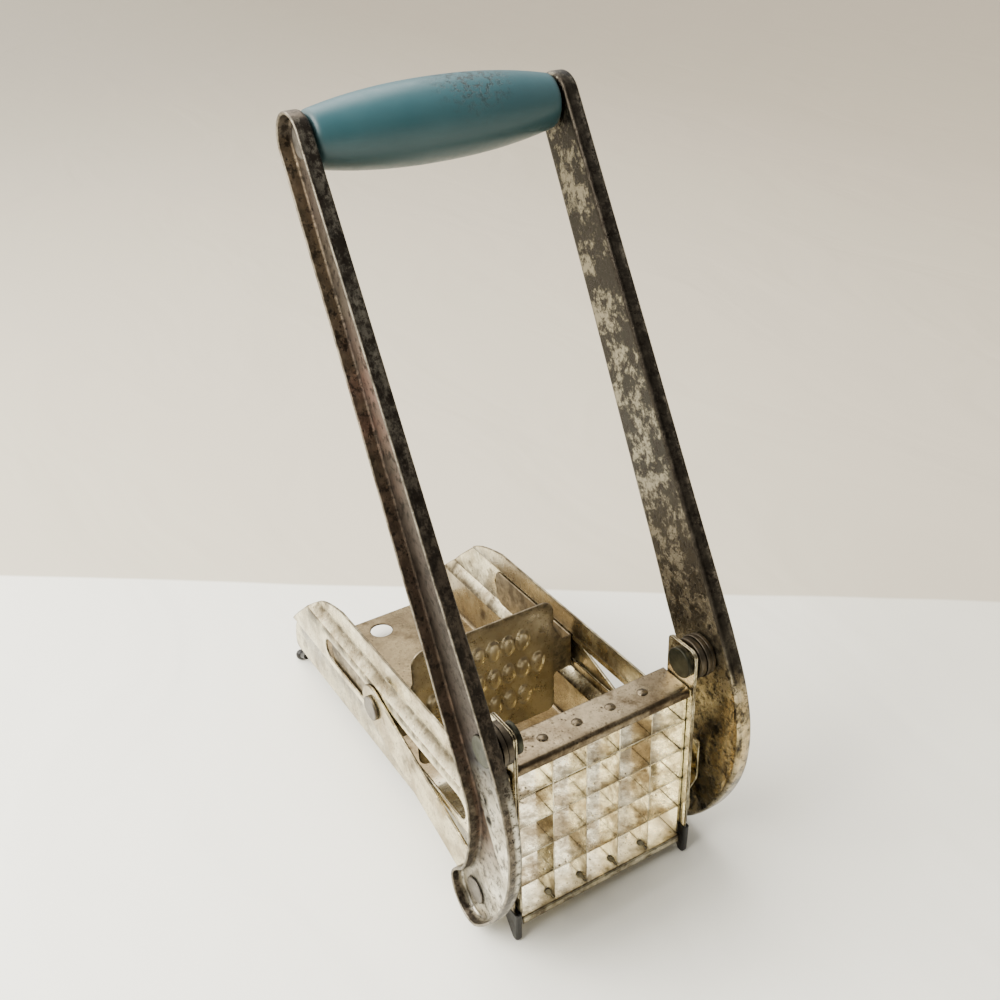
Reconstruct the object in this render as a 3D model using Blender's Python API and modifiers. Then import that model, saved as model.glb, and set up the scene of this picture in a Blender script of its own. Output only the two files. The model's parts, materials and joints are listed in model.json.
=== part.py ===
"""Lever-operated potato chipper: a sheet-metal trough with a blade grid at its front end, and a
pusher plate that two links and a long lever draw against the blades.

Metres, +Z up. X runs across the trough, +Y to its open rear end. Heights count from the surface that
the feet stand on, and depths from the front face of the blade grid, which lies FRONT_Y from the origin.
"""

import math

import bmesh
import bpy
from mathutils import Matrix, Vector
from mathutils.geometry import interpolate_bezier

# ---------------------------------------------------------------- driving dimensions
CELL = 0.0127
CELLS = 5
GAP = 0.0003
SHEET = 0.0008
FRONT_Y = -0.08185

GRID_HALF = CELL * CELLS / 2
GRID_FRONT = 0.0012
BLADE_DEPTH = 0.0100
BLADE_THICK = 0.0004
LAP_SLOT = 0.0007
STRIP_SLIT = 0.0010
STRIP_DEPTH = 0.0112
STRIP_THICK = 0.0010
BLADE_TO_STRIP_FACE = 0.0002

FLOOR_Z = 0.0082
GRID_LOW = FLOOR_Z + SHEET / 2
WALL_X = 0.03515
WALL_TOP = 0.0605
WALL_FRONT_TOP = 0.0715
WALL_FRONT_DEPTH = 0.0130
WALL_STEP_RUN = 0.0040
SHELL_LENGTH = 0.1750
BEND_RADIUS = 0.0024
CHANNEL_DEPTH = 0.0036
CHANNEL_Z = 0.0397
CHANNEL_HALF = 0.0120
CHANNEL_FLAT_HALF = 0.0080
SLOT_HALF = 0.0046
SLOT_FRONT = 0.0220
SLOT_REAR = 0.1295
LIP_BOTTOM = 0.0054
HOLE_Y = 0.1650
HOLE_RADIUS = 0.0048
KEYHOLE_Y = 0.0044
KEYHOLE_RADIUS = 0.0013
KEYHOLE_SLIT = 0.0007

POST_THICK = 0.0014
POST_X = GRID_HALF + STRIP_THICK + GAP + POST_THICK / 2
POST_FRONT = -0.0016
POST_REAR = 0.0118
POST_TOP = 0.0874
POST_FRONT_CORNER = 0.0030
POST_REAR_CORNER = 0.0015
LEG_SHOULDER_Z = 0.0140
FRONT_FOOT_Y = 0.0006
REAR_FOOT_Y = 0.1772
FRONT_FOOT_RADIUS = 0.0017
FRONT_FOOT_TOP = 0.0127
FRONT_FOOT_THICK = 0.0024
REAR_FOOT_RADIUS = 0.0023
FOOT_SQUAT = 0.90
FOOT_FLAT = math.degrees(math.asin(FOOT_SQUAT))
LEG_REAR_Y = 0.0099
NECK_RADIUS = 0.0013
NECK_LENGTH = 0.0075
NECK_DIRECTION = (0.0, -0.0062, 0.0030)

PLATE_TOP = 0.0733
PLATE_SHEET = 0.0010
PLATE_REAR = 0.0132
PLATE_LIP = 0.0036
PLATE_FRONT = -0.0002
STUD_Y = 0.0068
STUD_RADIUS = 0.0019
STUD_DOME_RADIUS = 0.0026
STUD_DOME_CENTRE = -0.0016
STUD_DEPTH = 0.0009
STUD_SINK = 0.0001

PIVOT_Y, PIVOT_Z = 0.0036, 0.0818
PIVOT_SHANK = 0.0030
PIVOT_HEAD = 0.0052
PIVOT_HEAD_THICK = 0.0020
ROD_HEAD = 0.0050
FLAT_END = 0.0005
WASHERS = ((0.0068, 0.0021), (0.0072, 0.0017), (0.0070, 0.0013))
WASHER_BEVEL = 0.0003
LEVER_LEAN = math.radians(28.1)
LEVER_LENGTH = 0.1790
ARM_TOP_RADIUS = 0.0084
WEB_X = 0.04075
WEB_THICK = 0.0010
FLANGE_X = 0.0459
GRIP_END_RADIUS = 0.0079
GRIP_MID_RADIUS = 0.0120
GRIP_BORE = 0.0024
GRIP_SWELL_POWER = 2.2
GRIP_EDGE = 0.0012
ROD_RADIUS = 0.0020

LOW_RIVET_Y, LOW_RIVET_Z = 0.0127, 0.0157
LINK_RIVET_Y = 0.0857
LINK_X = 0.03945
LINK_THICK = 0.0010
LINK_HALF_WIDTH = 0.0087
RIVET_RADIUS = 0.0025
RIVET_HEAD = 0.0047
REAR_RIVET_HEADS = (0.0010, 0.0012)

PUSHER_Y = 0.0730
PUSHER_THICK = 0.0010
PUSHER_HALF = 0.0297
PUSHER_LOW, PUSHER_HIGH = 0.0152, 0.0664
PUSHER_CORNER = 0.0050
PUSHER_LOW_CORNER = 0.0035
EAR_X = 0.0369
EAR_HALF = 0.0077
EAR_INSET = 0.0002
EAR_REAR = 0.1268
EAR_LOW_CORNER, EAR_HIGH_CORNER = 0.0050, 0.0030
DIMPLE_PITCH = CELL / 2
DIMPLE_HALF_WIDTH, DIMPLE_RISE, DIMPLE_HALF_HEIGHT = 0.0024, 0.0011, 0.0046
DIMPLE_SINK = 0.0002
DIMPLE_ROWS = (0.0285, 0.0412, 0.0539)


# ---------------------------------------------------------------- helpers
def clear_scene():
    for obj in list(bpy.data.objects):
        bpy.data.objects.remove(obj, do_unlink=True)


def new_collection(name, hidden=False):
    collection = bpy.data.collections.new(name)
    bpy.context.scene.collection.children.link(collection)
    collection.hide_render = hidden
    return collection


def metal(name, colour, roughness, metallic=1.0):
    material = bpy.data.materials.new(name)
    material.use_nodes = True
    shader = material.node_tree.nodes["Principled BSDF"]
    shader.inputs["Base Color"].default_value = (*colour, 1.0)
    shader.inputs["Roughness"].default_value = roughness
    shader.inputs["Metallic"].default_value = metallic
    material.diffuse_color = (*colour, 1.0)
    return material


def empty(name, location):
    """A joint's axis, or the front face of the grid, as a parent for what belongs to it."""
    obj = bpy.data.objects.new(name, None)
    obj.location = location
    parts.objects.link(obj)
    return obj


def place(obj, material=None, parent=None):
    """Gives a shape its colour and its parent, and keeps it where it was built."""
    if material:
        obj.data.materials.clear()
        obj.data.materials.append(material)
    holder = parent or front
    obj.parent = holder
    obj.matrix_parent_inverse = Matrix.Translation(-holder.location)
    return obj


def mesh_object(name, mesh):
    obj = bpy.data.objects.new(name, mesh)
    parts.objects.link(obj)
    return obj


def box(name, low, high):
    """A box between two corners, with its origin at the world's."""
    mesh = bpy.data.meshes.new(name)
    shape = bmesh.new()
    size = Vector(high) - Vector(low)
    middle = (Vector(high) + Vector(low)) / 2
    where = Matrix.Translation(middle) @ Matrix.Diagonal((*size, 1.0))
    bmesh.ops.create_cube(shape, size=1.0, matrix=where)
    shape.to_mesh(mesh)
    shape.free()
    return mesh_object(name, mesh)


def arc(centre, radius, start, end, steps):
    """Points on an arc, with its angles in degrees from the first axis towards the second."""
    turns = [math.radians(start + (end - start) * i / steps) for i in range(steps + 1)]
    return [(centre[0] + radius * math.cos(t), centre[1] + radius * math.sin(t)) for t in turns]


def circle(centre, radius, steps=20):
    return arc(centre, radius, 0, 360, steps)[:-1]


def stadium(start, end, radius, steps=8):
    """A bar with round ends between two centres."""
    along = math.degrees(math.atan2(end[1] - start[1], end[0] - start[0]))
    far_end = arc(end, radius, along - 90, along + 90, steps)
    return far_end + arc(start, radius, along + 90, along + 270, steps)


def smooth(points, before, after, steps):
    """A smooth line through the points, which starts and ends in the directions of before and after."""
    knots = [Vector((*before, 0.0)), *(Vector((*p, 0.0)) for p in points), Vector((*after, 0.0))]
    line = []
    for i in range(1, len(knots) - 2):
        first = knots[i] + (knots[i + 1] - knots[i - 1]) / 6
        second = knots[i + 1] - (knots[i + 2] - knots[i]) / 6
        line += interpolate_bezier(knots[i], first, second, knots[i + 1], steps + 1)[:-1]
    return [(p.x, p.y) for p in line] + [tuple(points[-1])]


def plate(name, loops, low, high, plane="YZ"):
    """A flat outline with its holes, thick between low and high along the axis across the plane."""
    curve = bpy.data.curves.new(name, "CURVE")
    curve.dimensions = "2D"
    curve.fill_mode = "BOTH"
    curve.extrude = (high - low) / 2
    for loop in loops:
        spline = curve.splines.new("POLY")
        spline.points.add(len(loop) - 1)
        for point, spot in zip(spline.points, loop):
            point.co = (*spot, 0.0, 1.0)
        spline.use_cyclic_u = True
    guide = bpy.data.objects.new(name, curve)
    parts.objects.link(guide)
    graph = bpy.context.evaluated_depsgraph_get()
    mesh = bpy.data.meshes.new_from_object(guide.evaluated_get(graph))
    bpy.data.objects.remove(guide)
    bpy.data.curves.remove(curve)
    turn = {"YZ": (90, 0, 90), "XZ": (90, 0, 0), "XY": (0, 0, 0)}[plane]
    turned_frame = Matrix.Identity(4)
    for axis, angle in zip("XYZ", turn):
        turned_frame = Matrix.Rotation(math.radians(angle), 4, axis) @ turned_frame
    across = turned_frame @ Vector((0.0, 0.0, 1.0))
    middle = (low + high) / 2
    mesh.transform(Matrix.Translation([abs(part) * middle for part in across]) @ turned_frame)
    shape = bmesh.new()
    shape.from_mesh(mesh)
    bmesh.ops.remove_doubles(shape, verts=shape.verts, dist=1e-6)
    bmesh.ops.recalc_face_normals(shape, faces=shape.faces)
    shape.to_mesh(mesh)
    shape.free()
    return mesh_object(name, mesh)


def turned(name, profile, location, axis=(1, 0, 0), steps=20):
    """A turned piece: its profile is (radius, distance along the axis), from the far end back."""
    mesh = bpy.data.meshes.new(name)
    edges = [(i, i + 1) for i in range(len(profile) - 1)]
    mesh.from_pydata([(radius, 0.0, along) for radius, along in profile], edges, [])
    obj = mesh_object(name, mesh)
    screw = obj.modifiers.new("turn", "SCREW")
    screw.steps = screw.render_steps = steps
    screw.use_merge_vertices = True
    screw.merge_threshold = 0.00001
    screw.use_smooth_shade = True
    obj.rotation_mode = "QUATERNION"
    obj.rotation_quaternion = Vector((0, 0, 1)).rotation_difference(Vector(axis))
    obj.location = location
    return obj


def boolean(obj, operation, other):
    modifier = obj.modifiers.new(other.name, "BOOLEAN")
    modifier.operation = operation
    modifier.solver = "EXACT"
    modifier.object = other
    other.display_type = "WIRE"
    other.hide_render = True
    if other.name not in cutters.objects:
        for holder in list(other.users_collection):
            holder.objects.unlink(other)
        cutters.objects.link(other)
    other.parent = front
    other.matrix_parent_inverse = Matrix.Identity(4)


def rest(obj):
    """Makes the evaluated mesh the object's own."""
    graph = bpy.context.evaluated_depsgraph_get()
    mesh = bpy.data.meshes.new_from_object(obj.evaluated_get(graph))
    obj.modifiers.clear()
    obj.data = mesh
    return obj


def mirrored(obj, name):
    """The same piece on the other side of the trough."""
    graph = bpy.context.evaluated_depsgraph_get()
    mesh = bpy.data.meshes.new_from_object(obj.evaluated_get(graph))
    mesh.transform(Matrix.Translation(-front.location) @ obj.matrix_world)
    mesh.transform(Matrix.Diagonal((-1.0, 1.0, 1.0, 1.0)))
    mesh.flip_normals()
    return mesh_object(name, mesh)


# ---------------------------------------------------------------- trough
def shell_section():
    """Half of the trough's section at the middle of its sheet, from the middle of the floor to the rim."""
    bend = (WALL_X - BEND_RADIUS, FLOOR_Z + BEND_RADIUS)
    section = [(0.0, FLOOR_Z)]
    section += arc(bend, BEND_RADIUS, -90, 0, 4)
    section.append((WALL_X, CHANNEL_Z - CHANNEL_HALF))
    section.append((WALL_X + CHANNEL_DEPTH, CHANNEL_Z - CHANNEL_FLAT_HALF))
    section.append((WALL_X + CHANNEL_DEPTH, CHANNEL_Z + CHANNEL_FLAT_HALF))
    section.append((WALL_X, CHANNEL_Z + CHANNEL_HALF))
    section.append((WALL_X, WALL_FRONT_TOP + SHEET))
    return section


def shell_side():
    """The trough seen from the side: low rims, a raised front, and a rear end that falls in a curve."""
    rear_curve = smooth(
        [(0.118, WALL_TOP), (0.137, 0.0546), (0.153, 0.0425), (0.166, 0.0305), (0.1735, 0.0205)],
        (0.104, WALL_TOP + 0.0012),
        (0.1755, 0.0100),
        5,
    )
    rear_end = [(SHELL_LENGTH, 0.0150), (SHELL_LENGTH, 0.0)]
    front_end = [(0.0, 0.0), (0.0, WALL_FRONT_TOP)]
    step = [(WALL_FRONT_DEPTH, WALL_FRONT_TOP), (WALL_FRONT_DEPTH + WALL_STEP_RUN, WALL_TOP)]
    return front_end + step + rear_curve + rear_end


def keyhole(x):
    """A round hole in the floor below a blade, with a slit that runs from it towards the front lip."""
    narrow = math.degrees(math.asin(KEYHOLE_SLIT / 2 / KEYHOLE_RADIUS))
    outline = arc((x, KEYHOLE_Y), KEYHOLE_RADIUS, narrow - 90, 270 - narrow, 12)
    return outline + [(x - KEYHOLE_SLIT / 2, 2 * SHEET), (x + KEYHOLE_SLIT / 2, 2 * SHEET)]


def body_shell():
    half = shell_section()
    section = [(-x, z) for x, z in reversed(half)] + half[1:]
    mesh = bpy.data.meshes.new("body_shell")
    low = [(x, 0.0, z) for x, z in section]
    high = [(x, SHELL_LENGTH, z) for x, z in section]
    count = len(section)
    faces = [(i, i + 1, count + i + 1, count + i) for i in range(count - 1)]
    mesh.from_pydata(low + high, [], faces)
    shell = mesh_object("body_shell", mesh)
    thicken = shell.modifiers.new("sheet", "SOLIDIFY")
    thicken.thickness = SHEET
    thicken.offset = 0.0
    thicken.use_even_offset = True
    reach = WALL_X + 2 * CHANNEL_DEPTH
    boolean(shell, "INTERSECT", plate("shell_side", [shell_side()], -reach, reach))
    ends = (SLOT_FRONT + SLOT_HALF, CHANNEL_Z), (SLOT_REAR - SLOT_HALF, CHANNEL_Z)
    boolean(shell, "DIFFERENCE", plate("shell_slots", [stadium(*ends, SLOT_HALF)], -reach, reach))
    hole = circle((0.0, HOLE_Y), HOLE_RADIUS, 32)
    boolean(shell, "DIFFERENCE", plate("shell_hole", [hole], 0.0, 2 * FLOOR_Z, "XY"))
    for side in (-1, 1):
        edges = sorted((side * (POST_X - POST_THICK / 2 - GAP), side * (WALL_X + SHEET)))
        notch = (edges[0], -SHEET, 0.0), (edges[1], POST_REAR + GAP, FRONT_FOOT_TOP + GAP)
        boolean(shell, "DIFFERENCE", box(f"corner_notch_{side}", *notch))
    lip_half = POST_X - POST_THICK / 2 - 2 * GAP
    lip = (-lip_half, 0.0, LIP_BOTTOM), (lip_half, SHEET, FLOOR_Z)
    boolean(shell, "UNION", box("front_lip", *lip))
    for number, x in enumerate(blade_lines(), 1):
        boolean(shell, "DIFFERENCE", plate(f"keyhole_{number}", [keyhole(x)], 0.0, 2 * FLOOR_Z, "XY"))
    return place(shell, tin)


# ---------------------------------------------------------------- blade grid
def front_post():
    """A side plate with a pivot tab on top and a tapered leg below."""
    leg_end = FRONT_FOOT_TOP + GAP
    front_corner, rear_corner = POST_FRONT_CORNER, POST_REAR_CORNER
    outline = [(POST_FRONT, leg_end), (LEG_REAR_Y, leg_end), (POST_REAR, LEG_SHOULDER_Z)]
    outline += arc((POST_REAR - rear_corner, POST_TOP - rear_corner), rear_corner, 0, 90, 3)
    outline += arc((POST_FRONT + front_corner, POST_TOP - front_corner), front_corner, 90, 180, 5)
    holes = [circle((PIVOT_Y, PIVOT_Z), PIVOT_SHANK + GAP)]
    sides = POST_X - POST_THICK / 2, POST_X + POST_THICK / 2
    post = plate("front_post_right", [outline, *holes], *sides)
    place(mirrored(post, "front_post_left"), tin)
    return place(post, tin)


def top_plate():
    half = POST_X - POST_THICK / 2 - GAP
    under = PLATE_TOP - PLATE_SHEET
    lip_low = PLATE_TOP - PLATE_LIP
    lip_rear = PLATE_FRONT + PLATE_SHEET
    section = [(PLATE_FRONT, lip_low), (lip_rear, lip_low), (lip_rear, under)]
    section += [(PLATE_REAR, under), (PLATE_REAR, PLATE_TOP), (PLATE_FRONT, PLATE_TOP)]
    cover = plate("top_plate", [section], -half, half)
    holes = [circle((x, STUD_Y), STUD_RADIUS + GAP) for x in blade_lines()]
    for number, hole in enumerate(holes, 1):
        boolean(cover, "DIFFERENCE", plate(f"stud_hole_{number}", [hole], lip_low, 2 * PLATE_TOP, "XY"))
    for number, x in enumerate(blade_lines(), 1):
        dome = arc((0.0, STUD_DOME_CENTRE), STUD_DOME_RADIUS, 90, 45, 3)
        profile = dome + [(STUD_RADIUS, 0.0), (STUD_RADIUS, -STUD_DEPTH), (0.0, -STUD_DEPTH)]
        spot = (x, STUD_Y, PLATE_TOP - STUD_SINK)
        stud = turned(f"blade_stud_{number}", profile, spot, (0, 0, 1), 16)
        place(stud, tin)
    return place(cover, tin)


def blade_lines():
    """Where the blades stand across the trough, from its left side."""
    return [(i - CELLS / 2) * CELL for i in range(1, CELLS)]


def blade_heights():
    return [GRID_LOW + i * CELL for i in range(1, CELLS)]


def notched(low, high, near, far, cuts, width, depth_from, depth_to):
    """A long plate's outline with notches in one long edge: near is the whole edge, far the cut one."""
    outline = [(low, near), (low, far)]
    for cut in cuts:
        outline += [(cut - width / 2, depth_from), (cut - width / 2, depth_to)]
        outline += [(cut + width / 2, depth_to), (cut + width / 2, depth_from)]
    return outline + [(high, far), (high, near)]


def grid_strips():
    """The grid's sides, slit from the front for the ends of the horizontal blades."""
    low, high = GRID_LOW + GAP, PLATE_TOP - PLATE_SHEET - GAP
    rear = GRID_FRONT + STRIP_DEPTH
    slit_end = GRID_FRONT + BLADE_DEPTH + GAP
    outline = notched(low, high, rear, GRID_FRONT, blade_heights(), STRIP_SLIT, GRID_FRONT, slit_end)
    strip = plate("grid_strip_right", [[(y, z) for z, y in outline]], GRID_HALF, GRID_HALF + STRIP_THICK)
    place(mirrored(strip, "grid_strip_left"), tin)
    return place(strip, tin)


def blades():
    front_edge, rear_edge = GRID_FRONT, GRID_FRONT + BLADE_DEPTH
    middle = (front_edge + rear_edge) / 2
    low, high = GRID_LOW + GAP, PLATE_TOP - PLATE_SHEET - GAP
    laps = notched(low, high, front_edge, rear_edge, blade_heights(), LAP_SLOT, rear_edge, middle - GAP / 2)
    outline = [laps[0], *arc((low, KEYHOLE_Y), KEYHOLE_RADIUS + GAP, -90, 90, 6), *laps[1:]]
    for number, x in enumerate(blade_lines(), 1):
        sides = x - BLADE_THICK / 2, x + BLADE_THICK / 2
        place(plate(f"blade_vertical_{number}", [[(y, z) for z, y in outline]], *sides), blade_tin)
    half = GRID_HALF + STRIP_THICK - BLADE_TO_STRIP_FACE
    outline = notched(-half, half, rear_edge, front_edge, blade_lines(), LAP_SLOT, front_edge, middle + GAP / 2)
    for number, z in enumerate(blade_heights(), 1):
        sides = z - BLADE_THICK / 2, z + BLADE_THICK / 2
        place(plate(f"blade_horizontal_{number}", [outline], *sides, "XY"), blade_tin)


# ---------------------------------------------------------------- feet
def front_foot():
    """A boot that covers the leg's end and narrows to a round tip, flat where it stands."""
    centre = (FRONT_FOOT_Y, FRONT_FOOT_RADIUS * FOOT_SQUAT)
    outline = arc(centre, FRONT_FOOT_RADIUS, -FOOT_FLAT, -20, 3)
    outline += [(LEG_REAR_Y, FRONT_FOOT_TOP), (POST_FRONT, FRONT_FOOT_TOP)]
    outline += arc(centre, FRONT_FOOT_RADIUS, 180, 180 + FOOT_FLAT, 4)
    inner = POST_X - POST_THICK / 2
    foot = plate("foot_front_right", [outline], inner, inner + FRONT_FOOT_THICK)
    place(mirrored(foot, "foot_front_left"), black)
    return place(foot, black)


def rear_feet():
    """Balls, flat where they stand, on necks that run forward under the floor."""
    radius, squat = REAR_FOOT_RADIUS, REAR_FOOT_RADIUS * FOOT_SQUAT
    ball = [(0.0, radius), *arc((0.0, 0.0), radius, 65, -FOOT_FLAT, 6), (0.0, -squat)]
    neck = [(0.0, NECK_LENGTH), (NECK_RADIUS, NECK_LENGTH), (NECK_RADIUS, 0.0), (0.0, 0.0)]
    for side, x in (("left", -POST_X), ("right", POST_X)):
        spot = (x, REAR_FOOT_Y, squat)
        foot = rest(turned(f"foot_rear_{side}", ball, spot, (0, 0, 1), 16))
        boolean(foot, "UNION", rest(turned(f"foot_neck_{side}", neck, spot, NECK_DIRECTION, 12)))
        place(foot, black)


# ---------------------------------------------------------------- lever
def on_lever(along, across):
    """A point of the lever's side view: along from its pivot to the grip, and across towards the front."""
    lean_y, lean_z = math.sin(LEVER_LEAN), math.cos(LEVER_LEAN)
    return (PIVOT_Y + along * lean_y - across * lean_z, PIVOT_Z + along * lean_z + across * lean_y)


def arm_outline():
    """An arm that widens from its round top to below the pivot, where a foot with a hooked toe begins."""
    rear = [on_lever(0.1600, -0.0087), on_lever(0.1150, -0.0098), on_lever(0.0700, -0.0114)]
    rear += [on_lever(0.0500, -0.0121), on_lever(0.0340, -0.0126), (0.0227, 0.0885), (0.0140, 0.0712)]
    rear += [(0.0085, 0.0580), (0.0084, 0.0460), (0.0108, 0.0350), (0.0145, 0.0268)]
    toe = [(0.0205, 0.0208), (0.0223, 0.0160), (0.0205, 0.0095), (0.0150, 0.0048), (0.0085, 0.0052)]
    sole = [(0.0015, 0.0118), (-0.0052, 0.0210), (-0.0110, 0.0320), (-0.0146, 0.0430), (-0.0158, 0.0545)]
    front_edge = [(-0.0148, 0.0660), (-0.0112, 0.0780), (-0.0055, 0.0900), (0.0014, 0.1030)]
    front_edge += [on_lever(0.0550, 0.0110), on_lever(0.1000, 0.0101), on_lever(0.1600, 0.0088)]
    above = on_lever(LEVER_LENGTH, -ARM_TOP_RADIUS), on_lever(LEVER_LENGTH, ARM_TOP_RADIUS)
    sides = smooth(rear + toe + sole + front_edge, *above, 3)
    lean = 90 - math.degrees(LEVER_LEAN)
    return sides + arc(on_lever(LEVER_LENGTH, 0.0), ARM_TOP_RADIUS, lean + 90, lean - 90, 10)


def inset(outline, distance):
    """The outline moved inwards by the distance. It runs clockwise."""
    moved = []
    for i, point in enumerate(outline):
        before, after = Vector(outline[i - 1]), Vector(outline[(i + 1) % len(outline)])
        along = (after - before).normalized()
        moved.append((point[0] + along.y * distance, point[1] - along.x * distance))
    return moved


def arm():
    """A pressed channel: the web lies inwards, and its flange stands outwards all round."""
    outline = arm_outline()
    grip = on_lever(LEVER_LENGTH, 0.0)
    holes = [circle((PIVOT_Y, PIVOT_Z), PIVOT_SHANK + GAP), circle(grip, ROD_RADIUS + GAP, 16)]
    holes.append(circle((LOW_RIVET_Y, LOW_RIVET_Z), RIVET_RADIUS + GAP, 16))
    side = plate("lever_arm_right", [outline, *holes], WEB_X, FLANGE_X)
    pocket = plate("arm_pocket", [inset(outline, WEB_THICK)], WEB_X + WEB_THICK, 2 * FLANGE_X)
    boolean(side, "DIFFERENCE", pocket)
    place(mirrored(side, "lever_arm_left"), dark_steel, lever)
    return place(side, dark_steel, lever)


def grip():
    """A turned barrel with a bore for the rod."""
    half = WEB_X - GAP
    swell = GRIP_MID_RADIUS - GRIP_END_RADIUS
    stations = [1.0, 0.97, 0.9, 0.75, 0.55, 0.3, 0.0, -0.3, -0.55, -0.75, -0.9, -0.97, -1.0]
    profile = [(GRIP_BORE, half)]
    for t in stations:
        edge = GRIP_EDGE if abs(t) == 1.0 else 0.0
        profile.append((GRIP_END_RADIUS + swell * (1 - abs(t) ** GRIP_SWELL_POWER) - edge, t * half))
    profile += [(GRIP_BORE, -half), (GRIP_BORE, half)]
    y, z = on_lever(LEVER_LENGTH, 0.0)
    return place(turned("grip", profile, (0.0, y, z), steps=32), blue_paint, lever)


def headed_pin(name, head_radius, shank_radius, heads, ends, y, z):
    """A pin along X with a head at each end, or at its outer end only where heads is one thickness."""
    low, high = ends
    bevel = 0.2 * head_radius
    profile = [(0.0, high + heads[1]), (head_radius - bevel, high + heads[1])]
    profile += [(head_radius, high + 0.4 * heads[1]), (head_radius, high), (shank_radius, high)]
    if heads[0]:
        profile += [(shank_radius, low), (head_radius, low), (head_radius, low - 0.4 * heads[0])]
        profile += [(head_radius - bevel, low - heads[0]), (0.0, low - heads[0])]
    else:
        profile += [(shank_radius, low), (0.0, low)]
    return turned(name, profile, (0.0, y, z))


def lever_pins():
    """The grip rod, and the rivet at each arm's foot, which stops just short of the link."""
    outside = WEB_X + WEB_THICK + GAP
    y, z = on_lever(LEVER_LENGTH, 0.0)
    rod = headed_pin("grip_rod", ROD_HEAD, ROD_RADIUS, (FLAT_END, FLAT_END), (-outside, outside), y, z)
    place(rod, rivet_steel, lever)
    ends = (WEB_X, outside)
    rivet = headed_pin("link_rivet_front_right", RIVET_HEAD, RIVET_RADIUS, (0.0, FLAT_END), ends,
                       LOW_RIVET_Y, LOW_RIVET_Z)
    place(mirrored(rivet, "link_rivet_front_left"), rivet_steel, lever)
    place(rivet, rivet_steel, lever)


def lever_pivots():
    """A headed pin through each post and arm, with three washers between them."""
    inside = POST_X - POST_THICK / 2 - GAP
    outside = WEB_X + WEB_THICK + GAP
    heads = PIVOT_HEAD_THICK, FLAT_END
    pin = headed_pin("lever_pivot_right", PIVOT_HEAD, PIVOT_SHANK, heads, (inside, outside), PIVOT_Y, PIVOT_Z)
    place(mirrored(pin, "lever_pivot_left"), rivet_steel)
    place(pin, rivet_steel)
    start = POST_X + POST_THICK / 2 + GAP
    for number, (radius, thick) in enumerate(WASHERS, 1):
        bore = PIVOT_SHANK + GAP
        flat = radius - WASHER_BEVEL
        profile = [(bore, thick), (flat, thick), (radius, thick - WASHER_BEVEL), (radius, WASHER_BEVEL)]
        profile += [(flat, 0.0), (bore, 0.0), (bore, thick)]
        washer = turned(f"pivot_washer_right_{number}", profile, (start, PIVOT_Y, PIVOT_Z), steps=24)
        place(mirrored(washer, f"pivot_washer_left_{number}"), rivet_steel)
        place(washer, rivet_steel)
        start += thick + 0.6 * GAP


# ---------------------------------------------------------------- pusher and links
def pusher_face():
    """The pusher from the front: a round-cornered plate, with a shoulder where each ear starts."""
    corner, cut = PUSHER_CORNER, PUSHER_LOW_CORNER
    shoulder_rise, shoulder_run, shoulder_drop = 0.0070, 0.0030, 0.0010
    ear_high, ear_low = CHANNEL_Z + EAR_HALF - GAP, CHANNEL_Z - EAR_HALF + GAP
    under_ear = CHANNEL_Z - EAR_HALF
    fold = EAR_X + 0.4 * PUSHER_THICK
    half = arc((PUSHER_HALF - corner, PUSHER_HIGH - corner), corner, 90, 0, 4)
    half += [(PUSHER_HALF, CHANNEL_Z + EAR_HALF + shoulder_rise), (EAR_X - shoulder_run, ear_high)]
    half += [(fold, ear_high), (fold, ear_low)]
    half += [(PUSHER_HALF + shoulder_drop, under_ear), (PUSHER_HALF, under_ear - shoulder_drop)]
    half += [(PUSHER_HALF, PUSHER_LOW + cut), (PUSHER_HALF - cut, PUSHER_LOW)]
    return half + [(-x, z) for x, z in reversed(half)]


def dimple_spots():
    """Two dimples to each cell across the plate, and one column less on each side of the outer rows."""
    for row, z in enumerate(DIMPLE_ROWS):
        columns = 4 if row == 1 else 3
        for column in range(columns):
            for side in (-1, 1):
                yield side * (column + 0.5) * DIMPLE_PITCH, z


def dimples():
    """All the dimples as one mesh, each a flattened ball whose back half is buried in the plate."""
    mesh = bpy.data.meshes.new("pusher_dimples")
    shape = bmesh.new()
    scale = Matrix.Diagonal((DIMPLE_HALF_WIDTH, DIMPLE_RISE, DIMPLE_HALF_HEIGHT, 1.0))
    for x, z in dimple_spots():
        spot = Matrix.Translation((x, PUSHER_Y - DIMPLE_SINK, z))
        bmesh.ops.create_icosphere(shape, subdivisions=2, radius=1.0, matrix=spot @ scale)
    shape.to_mesh(mesh)
    shape.free()
    return mesh_object("pusher_dimples", mesh)


def pusher_plate():
    face = plate("pusher_plate", [pusher_face()], PUSHER_Y, PUSHER_Y + PUSHER_THICK, "XZ")
    ear_front, ear_low, ear_high = PUSHER_Y + EAR_INSET, CHANNEL_Z - EAR_HALF, CHANNEL_Z + EAR_HALF
    low, high = EAR_LOW_CORNER, EAR_HIGH_CORNER
    for side in (-1, 1):
        sides = sorted((side * EAR_X, side * (EAR_X + PUSHER_THICK)))
        outline = [(ear_front, ear_low)]
        outline += arc((EAR_REAR - low, ear_low + low), low, -90, 0, 4)
        outline += arc((EAR_REAR - high, ear_high - high), high, 0, 90, 4)
        outline += [(ear_front, ear_high)]
        hole = circle((LINK_RIVET_Y, CHANNEL_Z), RIVET_RADIUS + GAP, 16)
        boolean(face, "UNION", plate(f"pusher_ear_{side}", [outline, hole], *sides))
    boolean(face, "UNION", dimples())
    return place(face, dark_tin, pusher)


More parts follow.
